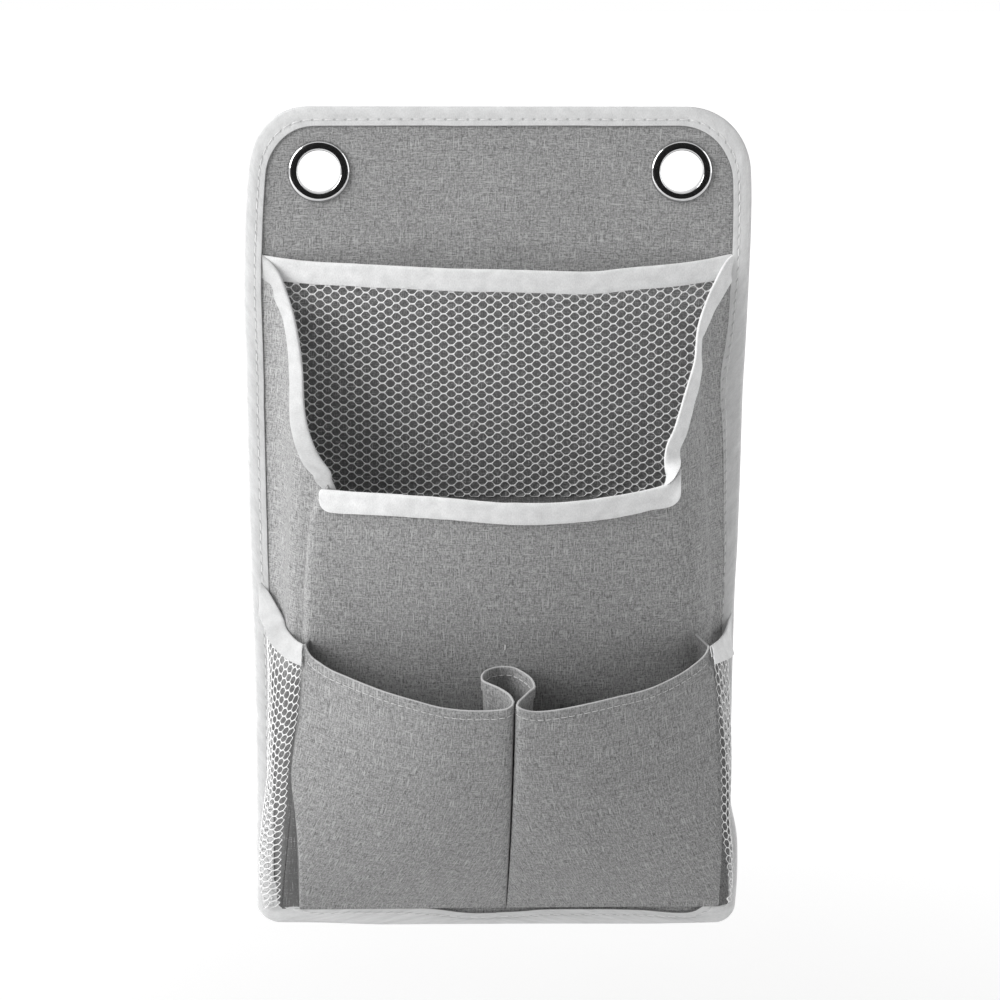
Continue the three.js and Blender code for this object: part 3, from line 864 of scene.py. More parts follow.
def fold_tape(name, node, finish, lie, width, rear, half, seed, stitches=None, limit=TAPE_REACH):
    """A tape folded over the edge of a piece: front leg, rounded fold and rear leg, as one strip.

    lie is the edge with its ways into the cloth and out of its front. stitches is (name, distance, pitch).
    width, rear and half are the front leg, the rear leg and half of the fold's thickness. The tape stays
    in front of the face cloth, and within the limit sideways. Each point across the strip stops LIMIT_STEP
    short of the one before, so that no two meet there.
    """
    edge, inward, out = lie
    count = len(edge)
    width = np.broadcast_to(width, (count,))
    half = np.broadcast_to(half, (count,))
    travelled = distance_along(edge)
    section = [(width, half), (width - 0.7, half + 0.22), (width * 0.75, half + 0.2)]
    section += [(width * 0.5, half + 0.22), (width * 0.25, half + 0.3), (1.6 + 0 * width, half + 0.25)]
    for turn in np.radians(np.linspace(60, -60, 7)):
        section.append((0.6 - (half + 0.2) * math.cos(turn), (half + 0.2) * math.sin(turn)))
    rear = np.minimum(rear, width)
    section += [(1.6 + 0 * width, -half - 0.2), (rear * 0.5, -half - 0.1), (rear, -half)]
    columns = np.zeros((count, len(section), 3))
    for row, (down, away) in enumerate(section):
        free, held = 0.28 * ripple(travelled / 9, 1.0, seed), 0.2 * ripple(travelled / 8, 0.0, seed)
        wobble = np.where(down > 2, free, held)
        puff = 0.22 * ripple(travelled / 6, row / 3, seed + 3) * (away > 0)
        columns[:, row] = edge + inward * (down + wobble)[:, None] + out * (away + puff)[:, None]
    reach = limit - LIMIT_STEP * np.arange(len(section))
    columns[:, :, 0] = np.clip(columns[:, :, 0], -reach, reach)
    columns[:, :, 1] = np.minimum(columns[:, :, 1], -TAPE_REAR_DEPTH)
    strip = Cloth(columns)
    made = sew(name, strip, finish, 0.5, (node,))
    threads = [] if stitches is None else [sew_along(stitches[0], strip, *stitches[1:])]
    declare_sheet(strip)


def rounded_off(distance, radius):
    """How far a rounded corner cuts in at a distance from the end."""
    return radius * (1 - np.sqrt(1 - np.clip(1 - distance / radius, 0, 1) ** 2))


def edge_frame(cloth, start, end, count, depth=6.0):
    """The cloth's top edge with, at each point, the way into the cloth and the way out of its front."""
    share = np.linspace(start, end, count)
    edge = cloth.at(share, 0.0)
    into = cloth.at(share, depth) - edge
    along = unit(np.gradient(edge, axis=0))
    into = unit(into - along * (into * along).sum(axis=1)[:, None])
    return edge, into, square_to(edge, into)


def square_to(edge, into):
    """The way out of a tape's front, square to its edge and to its way into the cloth."""
    return unit(np.cross(into, unit(np.gradient(edge, axis=0))))


NET_TOP = (
    (-151.0, -53.8), (-126.7, -56.5), (-95.6, -57.7), (-64.0, -58.8), (-32.4, -60.1), (-0.7, -60.6),
    (31.1, -61.7), (59.8, -62.4), (81.6, -60.4), (98.3, -59.4), (127.4, -56.8), (148.5, -53.2),
)


def make_upper_net():
    columns = []
    tops = line_through([(x, 0.0, z) for x, z in NET_TOP], 200)
    for share in np.linspace(0, 1, 61):
        slack = 1 - (2 * share - 1) ** 2
        x = blend(NET_LEFT, NET_RIGHT, share)
        top_z = np.interp(x, tops[:, 0], tops[:, 2])
        top = place(x, NET_RIM_DEPTH + NET_SLACK * slack, top_z)
        foot = place(x, NET_SEAM_DEPTH, NET_FOOT)
        belly = (top + foot) / 2 + place(0.0, 0.5 * slack, 0.0)
        columns.append(arc_between(top, belly, foot, 41))
    cloth = Cloth(columns)

    def pull(flat):
        """The cells stretch wider in the upper right corner."""
        x, y = flat[:, 0], flat[:, 1]
        near_right = np.exp(-(((x - 300) / 42) ** 2) - ((y - 12) / 34) ** 2)
        return np.stack([x + 3.2 * near_right, y - 4.5 * near_right], axis=1)

    made = hex_net("upper_pocket_net", cloth, "upper_net", CELL_HEIGHT, flat_top=0.24, pull=pull)
    declare_net(cloth)
    lie = edge_frame(cloth, 0.0, 1.0, 150)
    fold_tape(
        "upper_pocket_tape", "upper_net_tape", POCKET_TAPE, lie,
        width=14.2, rear=12.0, half=0.55, seed=1.0, stitches=("upper_tape_stitches", 2.4, 6.5))


# The large pocket: one cloth that makes the left gusset, the front and the right gusset

FOOT_Z = -493.7
LARGE_FOOT_LEFT, LARGE_FOOT_RIGHT, LARGE_FOOT_DEPTH = -142.5, 143.0, 5.4
GUSSET_FOOT_AT_PANEL, GUSSET_FOOT_AT_FOLD = (147.4, 4.95), (142.7, 5.4)
LARGE_FRONT_WIDTH = 236.0
HEM_FOLD_X = 107.0

LARGE_RIM_LEFT = (
    (-153.0, 4.7, -51.5), (-149.5, 5.5, -54.5), (-141.8, 10.5, -62.5), (-136.0, 17.5, -75.5),
    (-131.0, 27.0, -90.5), (-127.4, 35.5, -110.0), (-126.1, 40.0, -122.5), (-125.5, 44.0, -135.5),
    (-124.8, 47.0, -145.0), (-123.2, 50.0, -154.5), (-120.6, 52.6, -162.8), (-116.6, 55.2, -171.6),
    (-110.2, 57.6, -180.2), (-107.2, 58.3, -183.5), (-107.6, 59.0, -187.0),
)
LARGE_HEM = (
    (-110.6, 60.6, -192.0), (-98.7, 64.7, -193.8), (-64.9, 72.3, -194.0), (-33.6, 76.5, -195.6),
    (-2.3, 78.0, -198.0), (29.2, 76.8, -198.8), (54.5, 74.0, -197.3), (80.0, 69.3, -194.6),
    (101.9, 63.9, -190.6), (109.6, 61.4, -188.6),
)
LARGE_RIM_RIGHT = (
    (107.0, 56.8, -188.8), (104.2, 57.8, -184.0), (102.9, 60.4, -179.6), (102.5, 61.6, -174.6),
    (104.0, 61.0, -164.8), (108.5, 58.0, -156.5), (113.0, 54.0, -144.1), (116.4, 50.5, -134.7),
    (120.5, 46.0, -123.6), (123.6, 40.5, -114.5), (124.7, 35.0, -104.8), (125.4, 31.0, -97.8),
    (127.3, 27.0, -90.8), (131.2, 22.0, -80.7), (134.1, 19.0, -74.6), (138.3, 15.0, -66.4),
    (142.4, 11.0, -59.8), (147.0, 6.2, -54.6), (151.5, 4.7, -50.5),
)
HEM_TAPE_EDGE = ((-115.4, 60.6, -193.2), (-110.8, 61.8, -193.2)) + LARGE_HEM[1:8] + (
    (98.6, 65.6, -191.2), (103.7, 64.6, -189.6), (106.9, 64.0, -188.0), (109.5, 63.4, -185.8),
    (111.3, 63.0, -183.2), (112.4, 62.6, -180.8),
)
LEFT_CREASE = (
    LARGE_RIM_LEFT[-1], (-115.4, 58.4, -197.0), (-119.2, 55.4, -207.0), (-122.4, 51.4, -228.0),
    (-124.8, 46.0, -258.0), (-126.6, 39.6, -297.0), (-133.6, 21.0, -400.0),
    (LARGE_FOOT_LEFT, LARGE_FOOT_DEPTH, FOOT_Z),
)
RIGHT_CREASE = (
    LARGE_HEM[-1], (113.4, 59.6, -197.0), (115.8, 56.4, -210.0), (119.4, 51.0, -238.0),
    (127.6, 40.8, -295.0), (135.0, 21.4, -400.0), (LARGE_FOOT_RIGHT, LARGE_FOOT_DEPTH, FOOT_Z),
)


def gusset_columns(side, rim, crease, count, rows):
    """A gusset's cloth, from its curved rim to the foot, between the panel and the fold of the front."""
    share_down = np.linspace(0, 1, rows)[:, None]
    bow = crease - blend(crease[0], crease[-1], share_down)
    columns = []
    for k, top in enumerate(line_through(rim, count)):
        share = k / (count - 1)
        toward_crease = share if side < 0 else 1 - share
        foot_x = blend(GUSSET_FOOT_AT_PANEL[0], GUSSET_FOOT_AT_FOLD[0], toward_crease)
        foot_depth = blend(GUSSET_FOOT_AT_PANEL[1], GUSSET_FOOT_AT_FOLD[1], toward_crease)
        foot = place(side * foot_x, foot_depth, FOOT_Z + 0.3)
        belly = bulge(share_down, toward_crease)
        column = blend(top, foot, share_down) + bow * toward_crease ** 1.5
        column = column + place(side * 1.6, 1.0, 0.0) * belly
        if side > 0:
            column[:, 0] -= eased(RIGHT_BINDING_EXTRA, column[:, 2]) * (1 - toward_crease) ** 2
        columns.append(spaced(column, rows))
    return columns


def make_large_pocket():
    rows = 101
    gusset_count, front_count = 46, 92
    left_crease = line_through(LEFT_CREASE, rows)
    right_crease = line_through(RIGHT_CREASE, rows)
    left_gusset = gusset_columns(-1, LARGE_RIM_LEFT, left_crease, gusset_count, rows)
    right_gusset = gusset_columns(1, (LARGE_HEM[-1],) + LARGE_RIM_RIGHT, right_crease, gusset_count, rows)
    share_down = np.linspace(0, 1, rows)
    held = slope(share_down, 0.05, 0.08) * slope(share_down, 1, -0.5)
    front = []
    for k, top in enumerate(line_through((LARGE_RIM_LEFT[-1],) + LARGE_HEM, front_count)):
        across = k / (front_count - 1)
        foot = place(blend(LARGE_FOOT_LEFT, LARGE_FOOT_RIGHT, across), LARGE_FOOT_DEPTH, FOOT_Z)
        edge = blend(left_crease, right_crease, across)
        straight = blend(top, foot, share_down[:, None])
        chord = blend(edge[0], edge[-1], share_down[:, None])
        slack = 1 - abs(2 * across - 1) ** 2.4
        fullness = np.sin(share_down * math.pi) * slack * 2.0
        crumple = 0.55 * ripple(across * 5, share_down * 4, 8.0) * slack * share_down ** 0.5
        from_left, from_right = across * LARGE_FRONT_WIDTH, (1 - across) * LARGE_FRONT_WIDTH
        shoulder = 4.6 * (1 - math.exp(-from_left / 6)) * math.exp(-from_left / 40)
        shoulder += 2.6 * (1 - math.exp(-from_right / 6)) * math.exp(-from_right / 40)
        forward = place(0.0, 1.0, 0.0) * (fullness + crumple + shoulder * held)[:, None]
        front.append(spaced(straight + (edge - chord) * (1 - slack) + forward, rows))
    columns = np.array(left_gusset[:-1] + front + right_gusset[1:])
    corners = (gusset_count - 1, gusset_count + front_count - 2)
    columns = soften_folds(columns, corners, 1.4, 2)
    for corner, side in zip(corners, (-1, 1)):
        sharper = place(side * 0.55, 0.35, 0.0) * slope(share_down, 0, 0.05)[:, None]
        columns[corner] = columns[corner] + sharper
    cloth = Cloth(columns)
    nodes = ("large_pocket_front", "large_pocket_gusset_left", "large_pocket_gusset_right")
    made = sew("large_pocket_cloth", cloth, LINEN_POCKET, 0.55, nodes)
    declare_sheet(cloth)
    last = len(columns) - 1
    make_gusset_tape(cloth, "left", 0.0, corners[0] / last, 17.0, 11.0, TAPE_PAINTED_SHADE_LEFT, 153.2)
    make_gusset_tape(cloth, "right", corners[1] / last + 0.004, 1.0, 16.0, 9.8, POCKET_TAPE, 151.0)
    make_hem_tape(cloth)
    return cloth


def make_gusset_tape(cloth, side, start, end, wide, narrow, finish, limit):
    """The tape on one gusset's curved edge, wide at the panel and narrow at the pocket's front."""
    edge, into, out = edge_frame(cloth, start, end, 170, 4.0)
    if side == "left":
        edge, into, out = run_on(cloth, edge, into)
    lie = smoothed(edge, into, out, 5)
    share = np.linspace(0, 1, len(edge))
    share = share if side == "left" else 1 - share
    width = blend(wide, narrow, slope(share, 0, 0.26) ** 0.8)
    if side == "left":
        width = width * (1 - 0.36 * slope(share, 0.89, 0.09))
    flattened = np.clip(share / 0.06, 0.5, 1) * 0.72
    fold_tape(
        f"{side}_gusset_tape", f"gusset_tape_{side}", finish, lie,
        width, rear=9.0, half=flattened, seed=4.0, stitches=(f"{side}_gusset_tape_stitches", 2.2, 6.0),
        limit=limit)


def make_hem_tape(cloth):
    """The tape on the front's hem. It is taller at its right end, and its corners are rounded."""
    edge = line_through(HEM_TAPE_EDGE, 300)
    lower_edge = np.array([on_front(cloth, min(x, HEM_FOLD_X), z - 14.5, 0.5) for x, _, z in edge])
    lower_edge[:, 0] = edge[:, 0]
    lower_edge[:, 1] -= 1.5 * slope(edge[:, 0], 98.0, 8.0)
    into = unit(relaxed(lower_edge, 60) - edge)
    edge, into, out = smoothed(edge, into, square_to(edge, into), 4)
    travelled = distance_along(edge)
    left_over = travelled[-1] - travelled
    upper_corner = rounded_off(travelled, 2.0)
    lower_corners = rounded_off(travelled, 8.0) + rounded_off(left_over, 4.0)
    taller = 3.8 * np.clip(1 - left_over / 24, 0, 1) ** 1.3
    edge = edge + into * upper_corner[:, None] + out * 0.3
    height = 14.0 + taller - upper_corner - lower_corners
    fold_tape(
        "large_pocket_hem_tape_strip", "large_pocket_hem_tape", POCKET_TAPE,
        (edge, into, out), height, rear=10.0, half=0.75, seed=9.0, stitches=("hem_tape_stitches", 10.6, 6.0))


def run_on(cloth, edge, into):
    """The left gusset's tape runs on past the fold of the pocket and ends behind the hem's tape."""
    past = edge[-1] + place(0.4, -0.05, -1.0) * np.linspace(0.4, 7.2, 18)[:, None]
    edge = np.vstack([edge, past])
    into = np.vstack([into, np.repeat(into[-1:], len(past), axis=0)])
    late = np.clip(np.linspace(0, 1, len(edge)) / 0.14 - 0.76 / 0.14, 0, 1)[:, None]
    lying = [on_front(cloth, point[0] - 10.0, point[2] - 1.5, 0.9) for point in edge]
    into = unit(blend(into, unit(np.array(lying) - edge), late))
    return edge, into, square_to(edge, into)


def soften_folds(columns, folds, reach, times):
    """Rounds the cloth off where it was folded, so that a fold has a small radius."""
    soft = relaxed(columns, times)
    where = np.arange(len(columns))
    near = np.maximum(*(np.exp(-((where - fold) / reach) ** 2) for fold in folds))
    return blend(columns, soft, near[:, None, None])


def smoothed(edge, into, out, times):
    """The same edge with its two directions, after the tape has bridged the sharpest turns."""
    for _ in range(times):
        edge, into, out = relaxed(edge), unit(relaxed(into)), unit(relaxed(out))
    return edge, into, out


# The lower double pocket: one cloth from its left side wall to its right one, pleated back in the middle

LEFT_FOLD = (
    (-125.9, 57.7, -295.9), (-126.9, 57.4, -313.3), (-129.2, 55.7, -339.2), (-132.9, 52.9, -362.3),
    (-135.4, 48.4, -387.4), (-133.2, 41.8, -412.9), (-131.0, 28.9, -449.2), (-130.6, 6.2, -494.0),
)
RIGHT_FOLD = (
    (134.0, 57.7, -298.5), (137.8, 56.9, -324.5), (140.7, 53.8, -356.5), (142.7, 47.9, -389.7),
    (145.6, 31.6, -442.3), (148.2, 6.2, -494.5),
)
RIM_LEFT = (
    (-125.9, 57.8, -295.9), (-124.0, 59.5, -299.4), (-121.4, 61.7, -302.7), (-116.3, 65.8, -305.5),
    (-109.3, 71.1, -308.6), (-99.2, 78.0, -311.2), (-85.3, 85.7, -314.9), (-73.4, 91.1, -317.9),
    (-56.5, 96.8, -321.5), (-39.6, 100.6, -325.1), (-23.3, 102.7, -326.5), (-6.0, 103.5, -326.3),
    (2.4, 103.0, -325.2), (5.8, 100.8, -323.6),
)
LOOP = (
    (6.7, 97.0, -322.2), (4.6, 89.0, -320.4), (1.4, 83.7, -319.3), (-2.8, 78.5, -318.3),
    (-7.1, 74.5, -317.5), (-11.4, 70.0, -316.6), (-12.2, 65.2, -315.6), (-10.3, 58.6, -314.3),
    (-6.3, 54.4, -313.3), (-1.7, 52.4, -312.9), (3.5, 51.9, -312.7), (7.9, 53.2, -313.0),
    (13.4, 58.9, -314.4), (18.1, 66.9, -316.0), (19.6, 73.5, -317.3), (19.7, 79.5, -318.5),
    (17.3, 83.2, -319.1), (12.5, 91.0, -320.9), (8.2, 98.5, -322.4),
)
RIM_RIGHT = (
    (7.7, 101.6, -323.2), (9.2, 103.4, -324.4), (12.6, 104.0, -325.8), (18.9, 103.8, -327.1),
    (30.2, 103.2, -326.7), (48.0, 101.4, -324.1), (70.4, 96.3, -320.5), (93.2, 87.1, -317.6),
    (112.0, 75.8, -312.5), (121.5, 68.6, -308.8), (130.5, 60.9, -303.5), (134.0, 57.8, -298.5),
)
SIDE_WALL_BACK_LEFT = ((-123.2, 43.6, -296.5), (-133.5, 22.0, -396.0), (-143.5, 6.2, -492.0))
SIDE_WALL_BACK_RIGHT = (
    (126.4, 43.6, -294.0), (133.5, 32.0, -350.0), (141.0, 25.0, -410.0), (154.0, 10.6, -474.0),
    (155.5, 7.6, -492.0),
)
GAP_TOP_X, GAP_FOOT_X = 6.6, 6.3
PLEAT_FOOT_Z = -492.5
LOWER_FOOT_LEFT, LOWER_FOOT_RIGHT = -130.6, 148.2
LOWER_FOOT_DEPTH, LOWER_FOOT_Z = 6.2, -494.0
LOOP_BACK_DEPTH, LOOP_FRONT_DEPTH = 52.0, 100.0
LOWER_FRONT_LEAN_OUT, LOWER_FRONT_LEAN_DOWN = 26.0, 15.0


def on_front(cloth, x, z, lift):
    """The point on a cloth's front that is nearest to x and z as seen from the front."""
    off = np.hypot(cloth.points[:, :, 0] - x, cloth.points[:, :, 2] - z)
    row, column = np.unravel_index(np.argmin(off), off.shape)
    return place(x, -cloth.points[row, column, 1] + lift, z)


def make_lower_pocket(large):
    rows = 81
    down = np.linspace(0, 1, rows)
    share_down = down[:, None]
    left_fold = line_through(LEFT_FOLD, rows)
    right_fold = line_through(RIGHT_FOLD, rows)
    behind = large.points[:, np.argmin(np.abs(large.points[0, :, 0] - 4.0))]
    columns, marks = [], []

    def fall(top, foot_x):
        """A front that leans out below its rim and comes back to the seam."""
        foot = place(foot_x, LOWER_FOOT_DEPTH, LOWER_FOOT_Z)
        control = (top + foot) / 2 + place(0.0, LOWER_FRONT_LEAN_OUT, -LOWER_FRONT_LEAN_DOWN)
        return arc_between(top, control, foot, rows)

    def hang_front(rim_knots, left_foot, right_foot, fold, side):
        """One front, hung from its rim. At its outer side it follows the fold to the side wall."""
        rim = line_through(rim_knots, 74)
        chord = fall(rim[0], left_foot) if side < 0 else fall(rim[-1], right_foot)
        for top in rim:
            share = (top[0] - rim[0][0]) / (rim[-1][0] - rim[0][0])
            near_fold = 1 - share if side < 0 else share
            column = fall(top, blend(left_foot, right_foot, share))
            sway = (fold - chord) * near_fold ** 3
            pillow = place(0.0, 3.0, 0.0) * bulge(share_down, share)
            columns.append(column + sway + pillow)

    back = line_through(SIDE_WALL_BACK_LEFT, rows)
    for share in np.linspace(0, 1, 14)[:-1]:
        hollow = place(4.0, -0.30 * (-left_fold[:, 1]), 0.0) * (math.sin(math.pi * share) * share_down)
        columns.append(blend(back, left_fold, share) + hollow)
    marks.append(len(columns))
    hang_front(RIM_LEFT, LOWER_FOOT_LEFT, GAP_FOOT_X - 0.8, left_fold, -1)
    loop = line_through(LOOP, 66)
    front_line = fall(place(GAP_FOOT_X, 101.0, loop[0][2]), GAP_FOOT_X)
    for top in loop[:-1]:
        drop = blend(top[2], PLEAT_FOOT_Z, down)
        forward = slope(-top[1], LOOP_BACK_DEPTH, LOOP_FRONT_DEPTH - LOOP_BACK_DEPTH)
        front_depth = np.interp(-drop, -front_line[:, 2], -front_line[:, 1])
        back_depth = np.interp(-drop, -behind[:, 2], -behind[:, 1]) + 1.1
        depth = blend(back_depth, np.maximum(front_depth - 1.0, back_depth), forward)
        narrowing = blend(1.0, 0.55, down)
        middle = blend(GAP_TOP_X, GAP_FOOT_X, down)
        side = top[0] - GAP_TOP_X
        pinch = slope(forward, 0.55, 0.45)
        width = side * narrowing
        shut = np.sign(side) * np.minimum(abs(side), 1.0)
        width = blend(width, blend(width, shut, np.minimum(1.0, np.linspace(0, 5, rows))), pinch ** 2)
        columns.append(place(middle + width, depth, drop))
    hang_front(RIM_RIGHT, GAP_FOOT_X + 0.8, LOWER_FOOT_RIGHT, right_fold, 1)
    marks.append(len(columns) - 1)
    back = line_through(SIDE_WALL_BACK_RIGHT, rows)
    full = place(8.5, 2.0, 0.0) * np.sin(share_down * math.pi)
    for share in np.linspace(0, 1, 14)[1:]:
        columns.append(blend(right_fold, back, share) + full * math.sin(math.pi * share))
    columns = np.array([spaced(column, rows) for column in columns])
    body = Cloth(soften_folds(columns, marks, 1.5, 2))
    share = np.linspace(0, 1, body.cols)
    hem = [body.at(share, 7.0, -1.0), body.at(share, 3.5, -1.05), body.at(share, 0.9, -1.0)]
    edge = body.at(share, 0.0)
    up, off = edge - body.at(share, 0.8), body.at(share, 0.0, 1.0) - edge
    for turn in np.radians((-60, -20, 20, 60)):
        hem.append(edge + up * (0.25 * math.cos(turn)) + off * (0.5 * math.sin(turn) - 0.5))
    rolled = np.concatenate([np.array(hem), body.points], axis=0)
    cloth = Cloth(rolled.transpose(1, 0, 2))
    kinds = ("lower_pocket_front", "pleat_wall", "lower_pocket_side")
    nodes = [f"{kind}_{side}" for kind in kinds for side in ("left", "right")]
    made = sew("lower_pocket_cloth", cloth, LINEN_HEMMED, 0.45, nodes)
    # The side wall columns take the linen painted darker as shade.
    made.data.materials.append(SHADE_PAINTED_SIDE_WALL_LINEN)
    for face in made.data.polygons:
        column = max(vertex % cloth.cols for vertex in face.vertices)
        if column < marks[0] or column > marks[1] + 1:
            face.material_index = 1
    threads = sew_along(
        "lower_hem_stitches", body, 5.8, 5.0, span=(0.055, 0.945, 901), lift=0.34, radius=0.27, white=False)
    declare_sheet(cloth)
    tack = (on_front(large, 2.6, -297.0, 0.3), on_front(large, 2.5, -301.2, 0.3), place(0.0, 1.0, -0.2))
    thread_piece("pleat_bar_tack", [tack], 0.32, WHITE_THREAD)


# The side net pockets

SIDE_TAPE_LEFT = (
    (-155.0, 4.9, -267.0), (-150.6, 6.6, -273.0), (-146.4, 13.0, -278.8), (-139.4, 27.0, -288.0),
    (-137.8, 32.0, -292.0), (-134.5, 39.0, -294.8), (-130.5, 48.0, -296.2), (-126.6, 58.2, -295.8),
)
SIDE_TAPE_RIGHT = (
    (154.4, 5.0, -288.0), (151.2, 6.6, -295.0), (150.0, 11.0, -298.6), (147.4, 20.0, -300.2),
    (144.3, 30.0, -300.7), (141.2, 40.0, -300.3), (137.7, 50.0, -299.5), (134.9, 58.2, -298.6),
)
NET_SEAM_LEFT = (
    (-126.2, 58.6, -296.0), (-127.2, 58.2, -309.0), (-130.2, 56.0, -346.0), (-133.6, 53.2, -362.5),
    (-136.2, 48.9, -387.5), (-137.2, 44.5, -404.5), (-140.2, 36.0, -428.0), (-142.3, 10.4, -486.0),
    (-142.6, 6.4, -493.0),
)
NET_SEAM_RIGHT = (
    (134.6, 58.6, -298.0), (137.0, 58.0, -311.0), (139.0, 56.6, -335.0), (142.2, 52.0, -372.0),
    (145.2, 40.0, -420.0), (150.5, 26.0, -455.0), (154.6, 14.0, -480.0), (156.0, 7.0, -493.0),
)
FULLNESS_LEFT = (
    ((-520, 10), (-494, 11), (-475, 16), (-450, 15), (-405, 3.5), (-290, 3.5)),
    ((-520, 6), (-494, 8), (-470, 14), (-440, 15), (-290, 15)),
)
FULLNESS_RIGHT = (
    ((-520, 5), (-494, 5), (-475, 8), (-400, 9), (-340, 8), (-290, 3)),
    ((-520, 2), (-480, 4), (-450, 7), (-400, 12), (-340, 12), (-290, 10)),
)
NET_FOOT_Z = -494.5


def make_side_nets():
    """The two nets. Each FULLNESS table says how far a net stands out near the binding and near its seam."""
    rows, cols = 49, 37
    t = np.linspace(0, 1, cols)[:, None]
    sides = (
        (-1, "left", SIDE_TAPE_LEFT, NET_SEAM_LEFT, FULLNESS_LEFT, LEFT_EDGE_SHIFT, 6.3, 0.62),
        (1, "right", SIDE_TAPE_RIGHT, NET_SEAM_RIGHT, FULLNESS_RIGHT, RIGHT_EDGE_SHIFT, 7.4, 0.3),
    )
    for side, name, rim, seam, (out_near_binding, out_near_seam), shift, cell_height, slant in sides:
        rim_points = line_through(rim, cols)
        seam_points = line_through(seam, rows)
        binding_z = np.linspace(rim_points[0][2], NET_FOOT_Z, rows)
        binding_x = side * (PANEL_HALF_WIDTH - 10.5) + eased(shift, binding_z)
        binding = place(binding_x, 5.9, binding_z)
        rim_curve = rim_points - blend(rim_points[0], rim_points[-1], t)
        grid = np.zeros((cols, rows, 3))
        for row, end in enumerate(seam_points):
            share = row / (rows - 1)
            start = binding[row] + (rim_points[0] - binding[0]) * max(0.0, 1 - 5 * share)
            reach = -end[1] + start[1]
            first = start + place(side * eased(out_near_binding, end[2]), 0.42 * reach + 2.0, 0.0)
            second = end + place(side * eased(out_near_seam, end[2]), 1.5, 0.0)
            curve = (1 - t) ** 3 * start + 3 * t * (1 - t) ** 2 * first
            curve = curve + 3 * t * t * (1 - t) * second + t ** 3 * end
            at_rim = blend(start, end, t) + rim_curve
            grid[:, row] = blend(at_rim, curve, min(1.0, share * 5) ** 0.7)
        cloth = Cloth([spaced(column, rows) for column in (grid if side < 0 else grid[::-1])])
        net = f"{name}_side_pocket_net"
        made = hex_net(
            net, cloth, f"side_net_{name}", cell_height, flat_top=0.3, from_right=side < 0, slant=slant,
            start=0.82)
        declare_net(cloth)
        edge, into, out = edge_frame(cloth, 0.0, 1.0, 40)
        from_binding = np.linspace(0, 1, 40) if side < 0 else np.linspace(1, 0, 40)
        into[:, 1] = np.minimum(into[:, 1], 0)
        width = 13.4
        if side > 0:
            into = blend(into, place(0.0, 0.0, -1.0), np.clip(1 - from_binding / 0.4, 0, 1)[:, None])
            width = blend(17.0, 11.8, from_binding)
        into = unit(into)
        out = square_to(edge, into)
        flattened = np.clip(from_binding / 0.25, 0.3, 1) * 0.6
        finish, limit = (TAPE_PAINTED_SHADE_LEFT, TAPE_REACH) if side < 0 else (POCKET_TAPE, 153.2)
        fold_tape(
            f"{name}_side_pocket_tape", f"side_net_tape_{name}", finish, (edge, into, out),
            width, rear=7.0, half=flattened, seed=7.0 + side, limit=limit)


make_panel()
make_binding()
make_eyelets()
make_upper_net()
make_lower_pocket(make_large_pocket())
make_side_nets()


# Floor, light and camera: angles in degrees and lengths in metres

CAMERA_TURN, CAMERA_RISE, CAMERA_ROLL = -2.5, 14.0, 0.38
CAMERA_DISTANCE = 2.28
CAMERA_TARGET = (0.0011, 0.0, -0.2155)
CAMERA_LENS = 126.4
LAMP_TARGET = (0.0, 0.0, -0.23)
FLOOR_Z = -0.86
FLOOR_SIDE = 9.0
STUDIO_LIGHT = 0.46


def aim(thing, target, azimuth, elevation, distance, roll=0.0):
    """Puts a lamp or the camera at a distance and turns it to its target.

    Azimuth 0 is straight in front of the organizer and 90 to its right.
    """
    turn, rise = math.radians(azimuth), math.radians(elevation)
    away = Vector((math.sin(turn) * math.cos(rise), -math.cos(turn) * math.cos(rise), math.sin(rise)))
    thing.location = Vector(target) + away * distance
    thing.rotation_mode = "QUATERNION"
    thing.rotation_quaternion = away.to_track_quat("Z", "Y") @ Quaternion((0, 0, 1), math.radians(roll))


def stage_sheet(name, corners, material):
    """A flat four-cornered piece of the studio."""
    mesh = bpy.data.meshes.new(name)
    mesh.from_pydata(corners, [], [(0, 1, 2, 3)])
    mesh.materials.append(material)
    return add_to_scene(name, mesh)


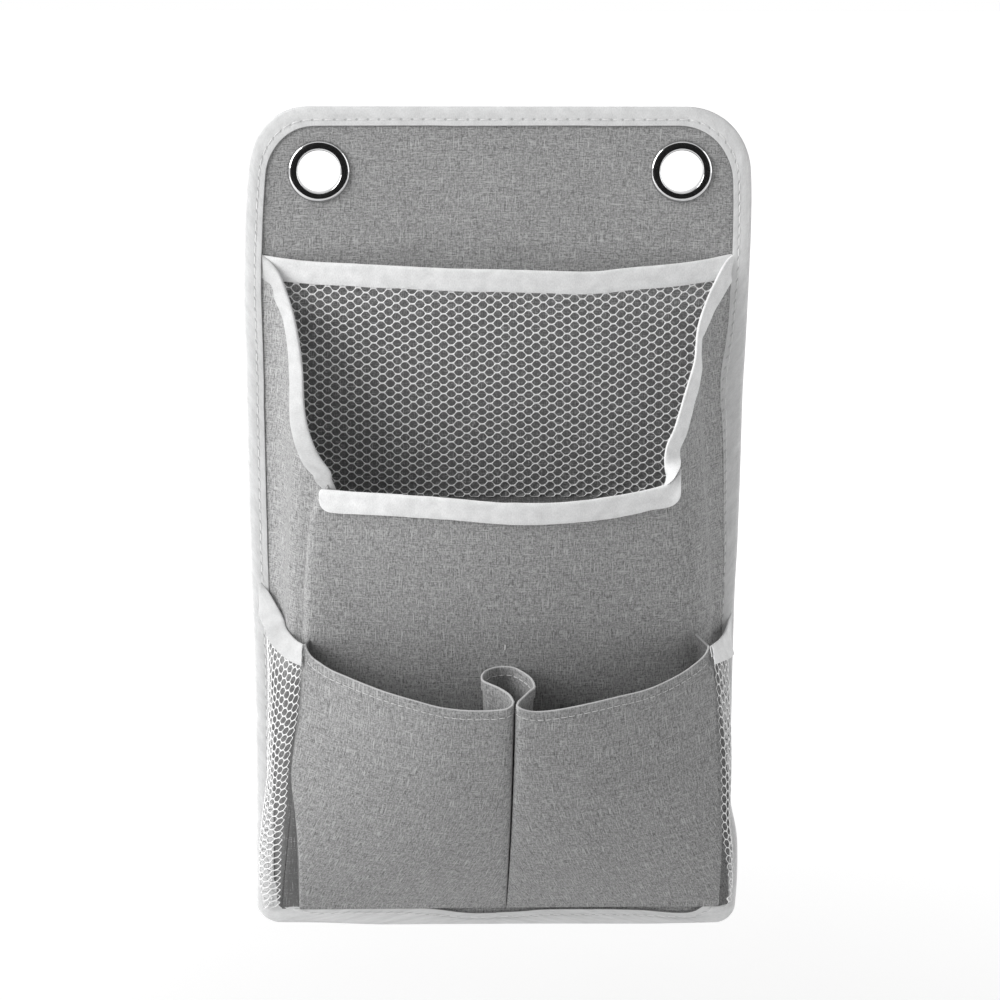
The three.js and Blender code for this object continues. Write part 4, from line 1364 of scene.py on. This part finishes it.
def make_floor():
    """A pale floor under the hanging organizer. The camera sees it near white, and its shadow stays."""
    signs = ((-1, -1), (1, -1), (1, 1), (-1, 1))
    corners = [(x * FLOOR_SIDE, y * FLOOR_SIDE, FLOOR_Z) for x, y in signs]
    finish = Finish("pale_floor_paint", Roughness=0.9)
    place_on_floor, grain = finish.speckle(3.0, 4.0)
    colour = finish.mix(grain, grey(0.8), grey(0.84))
    x, y = finish.axis(place_on_floor, 0), finish.axis(place_on_floor, 1)
    away = (x * x + y * y).root()
    glow = finish.mix(finish.seen_ray() * away.ramp(0.3, 2.6, 0.25, 1.0), grey(0.0), grey(0.75))
    finish.shader.inputs["Emission Strength"].default_value = 1.0
    stage_sheet("pale_floor", corners, finish.give(Base_Color=colour, Emission_Color=glow))


def make_dark_front():
    """The unlit front of the studio, which only polished metal shows: a dark sheet seen only in reflections,
    put there to give the chrome a painted dark reflection.
    """
    corners = [(-1.9, -1.1, -2.4), (1.9, -1.1, -2.4), (1.9, -1.1, 2.1), (-1.9, -1.1, 2.1)]
    finish = Finish("dark_screen_cloth", Roughness=1.0, Base_Color=grey(0.012))
    wall = stage_sheet("dark_front_screen", corners, finish.material)
    wall.visible_camera = False
    wall.visible_diffuse = False
    wall.visible_shadow = False


def soft_lamp(name, azimuth, elevation, distance, size, power):
    """A large soft box turned towards the organizer."""
    data = bpy.data.lights.new(name, "AREA")
    data.shape = "RECTANGLE"
    data.size, data.size_y = size
    data.energy = power
    lamp = add_to_scene(name, data)
    aim(lamp, LAMP_TARGET, azimuth, elevation, distance)
    lamp.visible_camera = False


def make_world():
    world = bpy.data.worlds.new("white_studio")
    bpy.context.scene.world = world
    world.use_nodes = True
    studio = Board(world.node_tree)
    shade = studio.mix(studio.seen_ray(), grey(STUDIO_LIGHT), grey(1.0))
    sky = studio.node("ShaderNodeBackground", None, {"Color": shade})
    studio.node("ShaderNodeOutputWorld", None, {"Surface": sky})


def make_camera():
    """The photograph's view: slightly from the left and above."""
    data = bpy.data.cameras.new("photo_camera")
    data.sensor_width = 36.0
    data.lens = CAMERA_LENS
    camera = add_to_scene("photo_camera", data)
    aim(camera, CAMERA_TARGET, CAMERA_TURN, CAMERA_RISE, CAMERA_DISTANCE, CAMERA_ROLL)
    bpy.context.scene.camera = camera


make_floor()
make_dark_front()
soft_lamp("key_soft_box", azimuth=-69, elevation=26, distance=2.5, size=(1.6, 2.0), power=69)
soft_lamp("fill_soft_box", azimuth=86, elevation=16, distance=2.6, size=(1.6, 2.0), power=15)
make_world()
make_camera()
bpy.context.scene.view_settings.view_transform = "Standard"

bpy.context.view_layer.update()
